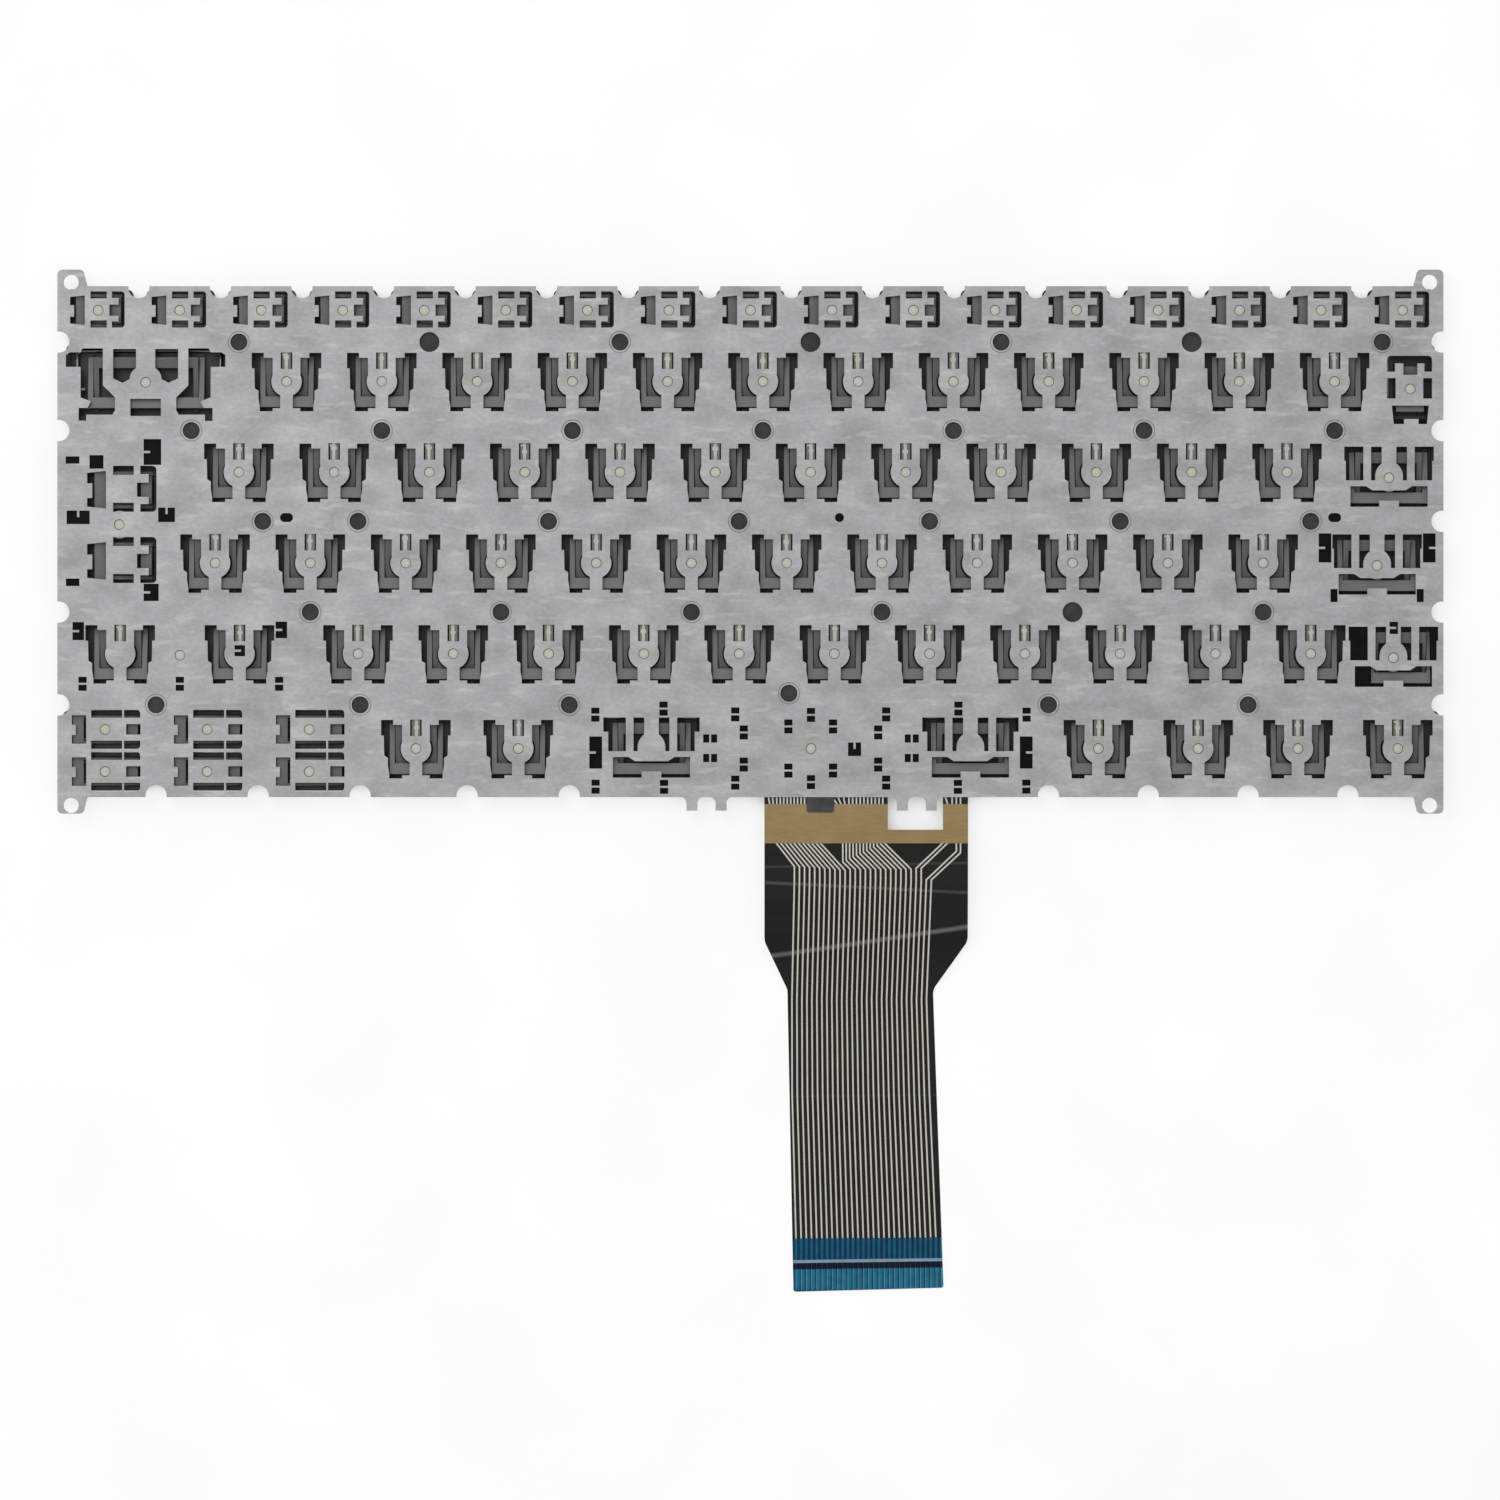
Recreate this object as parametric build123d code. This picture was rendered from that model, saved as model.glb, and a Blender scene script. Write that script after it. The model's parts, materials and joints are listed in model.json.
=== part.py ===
from build123d import *
import math
import os

os.makedirs("parts", exist_ok=True)

# Laptop replacement keyboard, lying on its keys with the pressed steel back plate up.
# Millimetres. +X is the right of the back view, +Y points away from the ribbon cable and
# +Z out of the back. The origin is the centre of the four corner screw holes, on the
# plate's back face.

# Key layout: pitches, and row starts counted in letter key pitches from the right edge
unit_pitch = 19.0
row_pitch = 18.1
home_row_y = -3.8
function_row_step = 14.2
space_row_step = 18.9
cap_gap = 3.0
field_units = 14.547
half_key_units = 0.642
function_count = 17
function_cap_width = 13.6
function_cap_depth = 8.6
arrow_pitch = 20.35
arrow_row_pitch = 8.4
arrow_gap = 0.8
arrow_inset = 9.5
arrow_drop = 0.4
modifier_pitch = 19.9
modifier_inset = 9.1
right_modifier_pitch = 20.4
right_modifier_inset = 71.5
space_lever_offset = 31.8
shift_lever_offset = 11.9

# Offsets of the long keys' mechanisms from the middle of their keys
half_key_offset = (-0.5, -1.5)
backspace_offset = (-0.5, -0.2)
tab_offset = (0.0, -1.1)
caps_offset = (0.0, -0.5)
left_shift_offset = (-1.5, -0.8)
right_shift_offset = (-0.8, -0.3)
enter_offset = (-1.0, -1.4)
enter_upper_offset = (-0.3, -3.5)
enter_lower_offset = (-0.3, 0.4)
space_offset = (0.4, 0.0)

# Back plate
plate_thickness = 0.4
plate_top_margin = 4.8
plate_bottom_margin = 9.7
tab_reach = 3.3
tab_width = 5.4
tab_slant = 0.6
tab_corner = 1.0
screw_hole = 3.0
screw_edge_x = 2.75
screw_edge_y = 0.75
lower_screw_drop = 0.9
notch_mouth = 4.2
notch_depth = 2.4
prong_width = 2.2
prong_reach = 2.7
prong_spacing = 5.8
prong_root = 1.2
stake_hole = 3.4
large_stake_hole = 4.0
space_stake_side = 4.4
space_stake_rise = 2.3
coin_ring = 0.5
coin_depth = 0.08
stake_drop = 0.75
vent_hole = 2.1
dowel_hole = 1.8
dowel_slot = 0.8
hook_length = 1.3
hook_width = 0.45

# Membrane, rubber domes and travel
film_thickness = 0.15
film_inset = 0.75
film_margin = 0.1
key_travel = 1.4
press_clearance = 0.25
dome_base = 5.5
dome_top = 2.4
dome_wall = 0.35
small_dome_base = 3.2
small_dome_top = 1.8
dome_clearance = 0.1

# Keycaps
cap_height = 1.9
cap_roof = 0.8
cap_wall = 0.8
cap_corner = 1.3
cap_edge = 0.45
lug_size = 0.4
lug_height = 0.8

# Crossed lever frames under the keys
lever_thickness = 0.8
lever_clearance = 0.15
lever_gap = 0.12
unit_lever_half_width = 5.3
unit_lever_reach = 5.2
unit_lever_arm = 1.05
unit_lever_opening = 6.6
wide_lever_half_width = 7.8
narrow_lever_half_width = 5.9
narrow_lever_arm = 0.7
backspace_lever_half_width = 11.6
small_lever_half_width = 3.3
small_lever_reach = 4.6
small_lever_arm = 0.6
enter_lever_half_width = 3.7
enter_lever_reach = 5.8
enter_lever_arm = 0.8
arrow_lever_half_width = 2.8
arrow_lever_reach = 6.6
arrow_lever_arm = 0.5
lever_bar = 2.2

# Stabiliser wires of the long keys
wire_diameter = 0.8
wire_clearance = 0.1
wire_leg = 8.0
wire_bend = 1.0
wire_hook = 1.6
wire_end_inset = 1.0

# Ribbon cable, its tape and its stiffener
cable_width = 40.6
cable_left = 2.8
cable_neck_width = 29.1
cable_neck_left = 7.4
cable_shoulder = 28.8
cable_taper = 9.7
cable_length = 98.9
cable_lean = 1.2
cable_spread = 0.9
cable_slant = 0.8
cable_corner = 0.5
cable_round = 3.0
cable_flat = 11.5
cable_ramp = 33.0
cable_notch_left = 27.4
cable_notch_width = 11.0
cable_notch_depth = 6.5
tape_start = 1.4
tape_length = 7.8
tape_thickness = 0.08
stiffener_length = 10.6
stiffener_slant = 0.25
stiffener_thickness = 0.2

# Heights, from the back face down to the key tops on the table
plate_front = -plate_thickness
film_split = plate_front - film_thickness
film_front = film_split - film_thickness
skirt_z = film_front - press_clearance - key_travel
key_top_z = skirt_z - cap_height
ceiling_z = key_top_z + cap_roof

# Places worked out from the layout
field_half = field_units * unit_pitch / 2
cap_edge_x = field_half - cap_gap / 2
cap_width = unit_pitch - cap_gap
cap_depth = row_pitch - cap_gap
top_row_y = home_row_y + row_pitch
number_row_y = top_row_y + row_pitch
lower_row_y = home_row_y - row_pitch
function_row_y = number_row_y + function_row_step
space_row_y = lower_row_y - space_row_step
function_pitch = 2 * field_half / function_count
plate_half = field_half
plate_top = function_row_y + plate_top_margin
plate_bottom = space_row_y - plate_bottom_margin


def row_places(lead_units, count):
    """Key centres along a row, from the right, after a lead given in key pitches."""
    first = field_half - (lead_units + 0.5) * unit_pitch
    return [first - index * unit_pitch for index in range(count)]


number_xs = row_places(half_key_units, 12)
top_xs = row_places(half_key_units + 0.5, 12)
home_xs = row_places(half_key_units + 0.75, 12)
lower_xs = row_places(half_key_units + 0.25, 11)
function_xs = [(index - (function_count - 1) / 2) * function_pitch for index in range(function_count)]
modifier_xs = [field_half - modifier_inset - index * modifier_pitch for index in range(4)]
right_modifier_xs = [-field_half + right_modifier_inset + index * right_modifier_pitch for index in range(2)]
arrow_xs = [-field_half + arrow_inset + index * arrow_pitch for index in range(3)]
arrow_ys = [space_row_y - arrow_drop + arrow_row_pitch * step for step in (0.5, -0.5)]


def right_span(xs):
    """Left and right edge of the key that fills a row out to the right edge."""
    return xs[0] + unit_pitch / 2 + cap_gap / 2, cap_edge_x


def left_span(xs):
    """Left and right edge of the key that fills a row out to the left edge."""
    return -cap_edge_x, xs[-1] - unit_pitch / 2 - cap_gap / 2


half_span = right_span(number_xs)
tab_span = right_span(top_xs)
caps_span = right_span(home_xs)
left_shift_span = right_span(lower_xs)
backspace_span = left_span(number_xs)
enter_span = left_span(top_xs)
enter_foot_span = left_span(home_xs)
right_shift_span = left_span(lower_xs)
modifier_cap = modifier_pitch - cap_gap
right_modifier_cap = right_modifier_pitch - cap_gap
space_span = (
    right_modifier_xs[-1] + right_modifier_cap / 2 + cap_gap,
    modifier_xs[-1] - modifier_cap / 2 - cap_gap,
)


def middle(span):
    """Centre of a span."""
    return (span[0] + span[1]) / 2


def beside(span, row, offset):
    """Mechanism centre at an offset from the middle of a key."""
    return middle(span) + offset[0], row + offset[1]


# Mechanism centres of the long keys, each set from its key
half_key_at = beside(half_span, number_row_y, half_key_offset)
backspace_at = beside(backspace_span, number_row_y, backspace_offset)
tab_at = beside(tab_span, top_row_y, tab_offset)
caps_at = beside(caps_span, home_row_y, caps_offset)
left_shift_at = beside(left_shift_span, lower_row_y, left_shift_offset)
left_shift_lever_at = (middle(left_shift_span), left_shift_at[1])
right_shift_at = beside(right_shift_span, lower_row_y, right_shift_offset)
enter_at = beside(enter_span, (top_row_y + home_row_y) / 2, enter_offset)
enter_upper_at = beside(enter_span, top_row_y, enter_upper_offset)
enter_lower_at = beside(enter_span, home_row_y, enter_lower_offset)
space_at = beside(space_span, space_row_y, space_offset)
shift_lever_ats = [(right_shift_at[0] + side * shift_lever_offset, lower_row_y) for side in (-1, 1)]
space_left_at = (space_at[0] - space_lever_offset, space_row_y)
space_right_at = (space_at[0] + space_lever_offset, space_row_y)

unit_ats = [(x, number_row_y) for x in number_xs]
unit_ats += [(x, top_row_y) for x in top_xs]
unit_ats += [(x, home_row_y) for x in home_xs]
unit_ats += [(x, lower_row_y) for x in lower_xs]
unit_ats += [(x, space_row_y) for x in modifier_xs + right_modifier_xs]
function_ats = [(x, function_row_y) for x in function_xs]
arrow_ats = [(x, y) for y in arrow_ys for x in arrow_xs]


def outline(*steps):
    """Closed wire through the steps. A step is a point, or a pair (via, end) for an arc."""
    edges = []
    here = steps[0]
    for step in steps[1:] + (steps[0],):
        if isinstance(step[0], tuple):
            edges.append(ThreePointArc(here, step[0], step[1]))
            here = step[1]
        elif math.dist(here, step) > 0.001:
            edges.append(Line(here, step))
            here = step
    return Wire(edges)


def box_outline(left, right, low, high):
    """Rectangular window."""
    return outline((left, low), (right, low), (right, high), (left, high))


def round_outline(diameter, x=0.0, y=0.0):
    """Round hole."""
    return Wire.make_circle(diameter / 2, Plane((x, y, 0)))


def both_sides(wires):
    """The windows of the left half and their mirror images on the right."""
    return wires + [wire.mirror(Plane.YZ) for wire in wires]


def placed(wires, at, turn=0.0):
    """Copies of the wires at a mechanism centre."""
    return [wire.moved(Location((at[0], at[1], 0), (0, 0, turn))) for wire in wires]


def bridged_slot(x, y, width=1.65, height=2.8, bridge=0.38):
    """Slot in two halves, with the lanced bridge that holds a wire left between them."""
    low = box_outline(x - width / 2, x + width / 2, y - height / 2, y - bridge / 2)
    high = box_outline(x - width / 2, x + width / 2, y + bridge / 2, y + height / 2)
    return [low, high]


def hooked_window(left, right, low, high, from_top=False):
    """Rectangular window with a lanced hook that stands into it from its left or upper edge."""
    corners = [(left, low), (right, low), (right, high)]
    if from_top:
        near = (left + right - hook_width) / 2
        far = near + hook_width
        tip = high - hook_length
        return outline(*corners, (far, high), (far, tip), (near, tip), (near, high), (left, high))
    near = (low + high - hook_width) / 2
    far = near + hook_width
    tip = left + hook_length
    return outline(*corners, (left, high), (left, far), (tip, far), (tip, near), (left, near))


# Letter key: two lever windows around the land that carries the rubber dome
land_radius = 3.03
land_neck = 1.25
land_side = math.sqrt(land_radius**2 - land_neck**2)
unit_window = outline(
    (-6.94, 5.7),
    (-4.54, 5.7),
    (-4.54, 4.72),
    (-land_side, 4.72),
    (-land_side, land_neck),
    ((-land_radius, 0), (-land_neck, -land_side)),
    (-land_neck, -5.34),
    (-land_side, -5.34),
    (-land_side, -5.96),
    (-5.34, -5.96),
    (-5.34, -4.98),
    (-5.6, -3.4),
    (-5.6, -1.87),
    (-6.32, -1.42),
    (-6.41, 2.6),
    (-6.94, 2.6),
)
unit_windows = both_sides([unit_window])
trace_window = box_outline(-1.15, 1.15, 2.48, 5.78)

# Function key: window for the lever bar, two slots and a bracket shaped window
bar_window = outline(
    (-5.6, 2.65),
    (-2.65, 2.95),
    (-2.65, -2.95),
    (-5.6, -2.65),
    (-5.6, -1.3),
    (-4.8, -1.3),
    (-4.8, 1.0),
    (-5.6, 1.0),
)
bracket_window = outline(
    (2.75, 3.76),
    (4.6, 3.76),
    ((5.09, 3.56), (5.29, 3.07)),
    (5.29, -2.77),
    ((5.09, -3.26), (4.6, -3.46)),
    (2.75, -3.46),
    (2.75, -2.24),
    (4.07, -2.24),
    (4.07, -1.12),
    (2.24, -1.12),
    (2.24, 1.12),
    (4.07, 1.12),
    (4.07, 2.44),
    (2.75, 2.44),
)
function_windows = [
    bar_window,
    bracket_window,
    box_outline(-1.53, 1.73, 2.34, 3.76),
    box_outline(-1.53, 1.73, -3.46, -2.03),
]

# Arrow key: the same in a lower form
arrow_windows = [
    outline(
        (-6.61, 2.83),
        (-3.74, 2.83),
        (-3.74, -2.83),
        (-6.61, -2.83),
        (-6.61, -1.1),
        (-5.85, -1.1),
        (-5.85, 0.94),
        (-6.61, 0.94),
    ),
    box_outline(-2.77, 3.42, 2.34, 3.92),
    outline((3.78, 2.34), (7.02, 2.34), (7.02, 3.2), ((6.81, 3.71), (6.3, 3.92)), (3.78, 3.92)),
    box_outline(-2.77, 3.42, -3.89, -2.24),
    outline((3.78, -3.89), (6.3, -3.89), ((6.81, -3.68), (7.02, -3.17)), (7.02, -2.24), (3.78, -2.24)),
    box_outline(4.22, 7.07, -1.02, 1.07),
]

# Backspace: tall lever windows, two windows over the land and one below it
backspace_windows = both_sides(
    [
        outline(
            (-12.59, 6.79),
            (-8.52, 6.79),
            (-8.52, -0.58),
            (-6.1, -3.0),
            (-6.1, -5.54),
            (-6.6, -6.43),
            (-11.83, -6.43),
            (-11.83, -7.7),
            (-13.35, -7.7),
            (-13.35, -5.09),
            (-11.57, -5.09),
            (-10.94, -3.76),
            (-12.97, -3.0),
            (-12.97, 3.1),
            (-15.9, 3.1),
            (-15.9, 5.5),
            (-15.1, 6.0),
            (-12.97, 6.0),
        ),
        outline(
            (-6.49, 6.66),
            (-1.91, 6.66),
            (-1.91, 2.85),
            ((-2.9, 1.8), (-3.18, 0.69)),
            (-4.58, -0.08),
            (-6.49, 0.8),
        ),
    ]
) + [box_outline(-3.05, 3.05, -6.69, -3.26)]


def wide_windows(reach):
    """Windows of the wider lever pair, out to a reach from its centre."""
    upper = [
        outline(
            (-reach, 6.2), (-5.11, 6.2), (-5.11, -0.53), (-8.62, -0.53), (-8.62, 3.36), (-reach, 3.36)
        ),
        outline(
            (-3.59, 6.18),
            (-1.45, 6.18),
            (-1.45, 2.82),
            ((-2.4, 1.72), (-2.75, 0.38)),
            (-2.75, -0.53),
            (-3.59, -0.53),
        ),
    ]
    lower = outline(
        (-7.7, -1.68),
        (-4.6, -1.68),
        (-3.3, -2.52),
        (3.3, -2.52),
        (4.6, -1.68),
        (7.7, -1.68),
        (7.7, -5.8),
        (1.95, -5.8),
        (1.95, -4.58),
        (-1.95, -4.58),
        (-1.95, -5.8),
        (-7.7, -5.8),
    )
    return both_sides(upper) + [lower]


tab_windows = wide_windows(8.93)
caps_windows = tab_windows + both_sides(
    [hooked_window(-11.66, -9.13, 0.6, 6.4), box_outline(-9.3, -7.9, -7.3, -4.7)]
)
left_shift_windows = tab_windows + [hooked_window(-0.76, 0.92, 4.73, 7.17)]
space_lever_windows = wide_windows(9.6) + [hooked_window(-12.4, -9.85, -4.0, 2.4)]
for slot_x, slot_y in ((-11.2, 6.75), (-11.15, -7.6), (2.4, 7.95), (2.5, -7.65)):
    space_lever_windows += bridged_slot(slot_x, slot_y)
for slot_y in (2.0, -1.9):
    space_lever_windows += placed(bridged_slot(0, 0), (11.7, slot_y), 90)
space_lever_mirror = [wire.mirror(Plane.YZ) for wire in space_lever_windows]

# Wire slots in the middle of the space bar, and round the long keys
space_slots = []
for side in (-1, 1):
    space_slots += bridged_slot(0, side * 6.7)
    for slot_x, slot_y in ((-15.1, 6.8), (-13.4, 3.2), (-4.5, 4.4), (4.4, 4.4), (13.4, 3.2), (15.0, 6.8)):
        space_slots += bridged_slot(slot_x, side * slot_y)
space_slots.append(hooked_window(7.4, 10.0, -1.5, 1.2, from_top=True))
shift_slots = []
for slot_x in (-19.4, 0.0, 19.8):
    shift_slots += bridged_slot(slot_x, -5.7)
shift_slots += [hooked_window(-21.4, -19.1, 3.0, 6.6), hooked_window(19.1, 21.4, 3.4, 6.7)]
shift_slots.append(hooked_window(shift_lever_offset - 1.0, shift_lever_offset + 1.1, -0.2, 2.0))
enter_slots = [
    box_outline(-10.7, -7.95, 12.15, 13.6),
    box_outline(-5.95, -3.15, 11.15, 13.85),
    box_outline(-10.65, -7.95, -12.25, -10.75),
    hooked_window(4.85, 8.35, 11.9, 17.05),
    hooked_window(7.75, 11.1, 0.5, 3.4, from_top=True),
    hooked_window(-10.5, -5.9, 0.1, 2.8, from_top=True),
    hooked_window(4.85, 7.85, -15.25, -11.8),
]
enter_windows = [wire.scale(1.27) for wire in function_windows]
half_key_windows = [wire.scale(1.25) for wire in function_windows]

# Window sets with the centres and turn of the mechanisms that use them
window_sets = [(unit_windows, at, 0) for at in unit_ats + shift_lever_ats]
window_sets += [(function_windows, at, 0) for at in function_ats]
window_sets += [(enter_windows, at, 0) for at in (enter_upper_at, enter_lower_at)]
window_sets += [(arrow_windows, at, 0) for at in arrow_ats]
window_sets += [
    (half_key_windows, half_key_at, 90),
    (backspace_windows, backspace_at, 0),
    (tab_windows, tab_at, 0),
    (caps_windows, caps_at, 0),
    (left_shift_windows, left_shift_at, 0),
    (space_lever_windows, space_left_at, 0),
    (space_lever_mirror, space_right_at, 0),
    (space_slots, space_at, 0),
    (shift_slots, right_shift_at, 0),
    (enter_slots, enter_at, 0),
]
lever_windows = []
for wires, at, turn in window_sets:
    lever_windows += placed(wires, at, turn)

# One dome and one vent hole for each key
big_dome_ats = unit_ats + [backspace_at, tab_at, caps_at, left_shift_at, right_shift_at, enter_at, space_at]
small_dome_ats = function_ats + arrow_ats + [half_key_at]
vents = [round_outline(vent_hole, *at) for at in big_dome_ats + small_dome_ats]
trace_windows = []
for at in unit_ats + shift_lever_ats:
    trace_windows += placed([trace_window], at)

# Holes for the plastic stakes, halfway between the keys on the lines between the rows, as
# (size, x, y)
stake_places = []


def stake_row(xs, y, count, large=()):
    """Stakes at every second gap of a row, counted from the left, on one line."""
    for index in range(count):
        size = large_stake_hole if index in large else stake_hole
        stake_places.append((size, xs[-1] + (2 * index - 0.5) * unit_pitch, y))


stake_row(number_xs, (function_row_y + number_row_y) / 2 + stake_drop, 7, (1, 3, 5))
stake_row(top_xs, (number_row_y + top_row_y) / 2 - stake_drop, 7)
home_line_y = (top_row_y + home_row_y) / 2 - stake_drop
stake_row([x + unit_pitch for x in home_xs], home_line_y, 1)
stake_row([x + 2 * unit_pitch for x in home_xs], home_line_y, 6)
stake_row(lower_xs, (home_row_y + lower_row_y) / 2 - stake_drop, 6, (4,))
space_line_y = (lower_row_y + space_row_y) / 2 - stake_drop
space_line_xs = [middle(arrow_xs[:2]), arrow_xs[2] + arrow_pitch / 2, right_modifier_xs[1] + arrow_pitch / 2]
space_line_xs += [modifier_xs[3] - modifier_pitch / 2, middle(modifier_xs[1:3])]
stake_places += [(stake_hole, x, space_line_y) for x in space_line_xs]
stake_places.append((stake_hole, space_at[0] - space_stake_side, space_line_y + space_stake_rise))
stakes = [round_outline(size, x, y) for size, x, y in stake_places]

# Dowel holes on the line between the two middle rows
dowel_y = (top_row_y + home_row_y) / 2
dowels = [round_outline(dowel_hole, home_xs[5] + unit_pitch / 2 + 1.0, dowel_y)]
for dowel_x in (home_xs[-1] + unit_pitch * 0.75, home_xs[0] + unit_pitch * 0.75):
    low = dowel_y - dowel_hole / 2
    high = dowel_y + dowel_hole / 2
    left = dowel_x - dowel_slot / 2
    right = dowel_x + dowel_slot / 2
    end_left = ((left - dowel_hole / 2, dowel_y), (left, low))
    end_right = ((right + dowel_hole / 2, dowel_y), (right, high))
    dowels.append(outline((left, low), (right, low), end_right, (left, high), end_left))

# Plate outline, walked anticlockwise, with half round notches, corner tabs and prongs
screw_x = plate_half - screw_edge_x
screw_top_y = plate_top + screw_edge_y
screw_bottom_y = plate_bottom - screw_edge_y - lower_screw_drop


def notches(places, side, walk, along_x, mouth=notch_mouth, depth=notch_depth):
    """Steps for half round notches in one straight edge, walked up (1) or down (-1) its axis."""
    steps = []
    inward = walk if along_x else -walk
    for place in sorted(places, reverse=walk < 0):
        start = place - walk * mouth / 2
        end = place + walk * mouth / 2
        deep = side + inward * depth
        if along_x:
            steps += [(start, side), ((place, deep), (end, side))]
        else:
            steps += [(side, start), ((deep, place), (side, end))]
    return steps


def corner_tab(side_x, side_y):
    """Points of a corner tab from the plate's top or bottom edge out to its side edge."""
    root = (side_x * (plate_half - tab_width - tab_slant), plate_edge(side_y))
    tip_y = plate_edge(side_y) + side_y * tab_reach
    shoulder = (side_x * (plate_half - tab_width), tip_y - side_y * tab_corner)
    tip_in = (side_x * (plate_half - tab_width + tab_corner), tip_y)
    tip_out = (side_x * (plate_half - tab_corner), tip_y)
    side = (side_x * plate_half, tip_y - side_y * tab_corner)
    cut = tab_corner * (1 - math.sqrt(0.5))
    via_in = (side_x * (plate_half - tab_width + cut), tip_y - side_y * cut)
    via_out = (side_x * (plate_half - cut), tip_y - side_y * cut)
    return root, shoulder, via_in, tip_in, tip_out, via_out, side


def plate_edge(side_y):
    """Height of the plate's top or bottom edge."""
    return plate_top if side_y > 0 else plate_bottom


def tab_outward(side_x, side_y):
    """Steps from the long edge round the tab to the side edge."""
    root, shoulder, via_in, tip_in, tip_out, via_out, side = corner_tab(side_x, side_y)
    return [root, shoulder, (via_in, tip_in), tip_out, (via_out, side)]


def tab_inward(side_x, side_y):
    """Steps from the side edge round the tab to the long edge."""
    root, shoulder, via_in, tip_in, tip_out, via_out, side = corner_tab(side_x, side_y)
    return [side, (via_out, tip_out), tip_in, (via_in, shoulder), root]


def prong(x):
    """Steps of one prong on the bottom edge, with rounded roots."""
    tip = plate_bottom - prong_reach
    cut = prong_root * (1 - math.sqrt(0.5))
    left = x - prong_width / 2
    right = x + prong_width / 2
    root_left = (left - prong_root, plate_bottom)
    root_right = (right + prong_root, plate_bottom)
    return [
        root_left,
        ((left - cut, plate_bottom - cut), (left, plate_bottom - prong_root)),
        (left, tip),
        (right, tip),
        (right, plate_bottom - prong_root),
        ((right + cut, plate_bottom - cut), root_right),
    ]


cable_notch_middle = cable_notch_left + cable_notch_width / 2
prong_pairs = (cable_left - 11.55, cable_notch_middle + 0.3)
bottom_left_notches = [middle(arrow_xs[:2]), middle(arrow_xs[1:3]), arrow_xs[2] + arrow_pitch / 2]
bottom_left_notches += [middle(right_modifier_xs), right_modifier_xs[1] + arrow_pitch / 2]
bottom_right_notches = [modifier_xs[3] - modifier_pitch / 2]
bottom_right_notches += [middle(modifier_xs[index : index + 2]) for index in (2, 1, 0)]
line_ys = [(function_row_y + number_row_y) / 2 + stake_drop, (number_row_y + top_row_y) / 2 - stake_drop]
line_ys += [(home_row_y + lower_row_y) / 2 - stake_drop, space_line_y]
right_line_ys = line_ys + [(top_row_y + home_row_y) / 2 - stake_drop]
top_notches = [middle(function_xs[index : index + 2]) for index in range(function_count - 1)]

plate_steps = tab_inward(-1, -1)
plate_steps += notches(bottom_left_notches, plate_bottom, 1, True)
for pair in prong_pairs:
    plate_steps += prong(pair - prong_spacing / 2) + prong(pair + prong_spacing / 2)
plate_steps += notches(bottom_right_notches, plate_bottom, 1, True)
plate_steps += tab_outward(1, -1)
plate_steps += notches(right_line_ys, plate_half, 1, False)
plate_steps += tab_inward(1, 1)
plate_steps += notches(top_notches, plate_top, -1, True)
plate_steps += tab_outward(-1, 1)
plate_steps += notches(line_ys, -plate_half, -1, False)
plate_outline = outline(*plate_steps)
screw_ats = [(side * screw_x, y) for side in (-1, 1) for y in (screw_top_y, screw_bottom_y)]
screw_holes = [round_outline(screw_hole, *at) for at in screw_ats]


def save(name, solids):
    """Write one node, a single solid or a group of like solids."""
    shape = solids[0] if len(solids) == 1 else Compound(solids)
    export_step(shape, os.path.join("parts", name + ".step"))


def sheet(edge, holes, top, thickness):
    """Flat sheet with holes, its upper face at the given height."""
    return extrude(Face(edge, holes), thickness, dir=(0, 0, -1)).moved(Location((0, 0, top)))


# Pressed back plate, with a ring coined round each of the smaller stake holes
plate_holes = lever_windows + vents + trace_windows + stakes + dowels + screw_holes
plate = sheet(plate_outline, plate_holes, 0, plate_thickness)
coins = []
for size, x, y in stake_places:
    if size == stake_hole:
        floor = Plane((x, y, -coin_depth))
        coins.append(Solid.make_cylinder(stake_hole / 2 + coin_ring, plate_thickness, floor))
save("base_plate", [(plate - coins).solid()])


# Membrane cut-outs, plainer and a little larger than the plate's windows
def cut_outs(wires):
    """A box round each of the windows."""
    boxes = []
    for wire in wires:
        low = wire.bounding_box().min
        high = wire.bounding_box().max
        boxes.append(
            box_outline(low.X - film_margin, high.X + film_margin, low.Y - film_margin, high.Y + film_margin)
        )
    return boxes


unit_cut_outs = both_sides(
    [
        outline(
            (-7.04, 5.8),
            (-land_side, 5.8),
            (-land_side, -2.0),
            (-land_neck, -land_radius),
            (-land_neck, -6.06),
            (-7.04, -6.06),
        )
    ]
)
backspace_cut_outs = both_sides(
    [
        outline(
            (-13.2, 6.9),
            (-1.9, 6.9),
            (-1.9, 2.85),
            (-3.2, 0.7),
            (-6.0, -0.1),
            (-6.0, -7.8),
            (-13.5, -7.8),
            (-13.5, 3.0),
            (-16.0, 3.0),
            (-16.0, 6.1),
            (-13.2, 6.1),
        )
    ]
) + cut_outs(backspace_windows[-1:])


def wide_cut_outs(left, right):
    """Cut-outs of the wider lever pair, out to a reach on each side."""
    upper = [
        outline((-reach, 6.3), (-1.4, 6.3), (-1.4, 2.85), (-2.7, 0.4), (-2.7, -0.6), (-reach, -0.6))
        for reach in (left, right)
    ]
    low_left = min(left, 7.8)
    low_right = min(right, 7.8)
    lower = outline(
        (-low_left, -1.6),
        (-4.6, -1.6),
        (-3.3, -2.5),
        (3.3, -2.5),
        (4.6, -1.6),
        (low_right, -1.6),
        (low_right, -5.9),
        (-low_left, -5.9),
    )
    return [upper[0], upper[1].mirror(Plane.YZ), lower]


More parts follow.
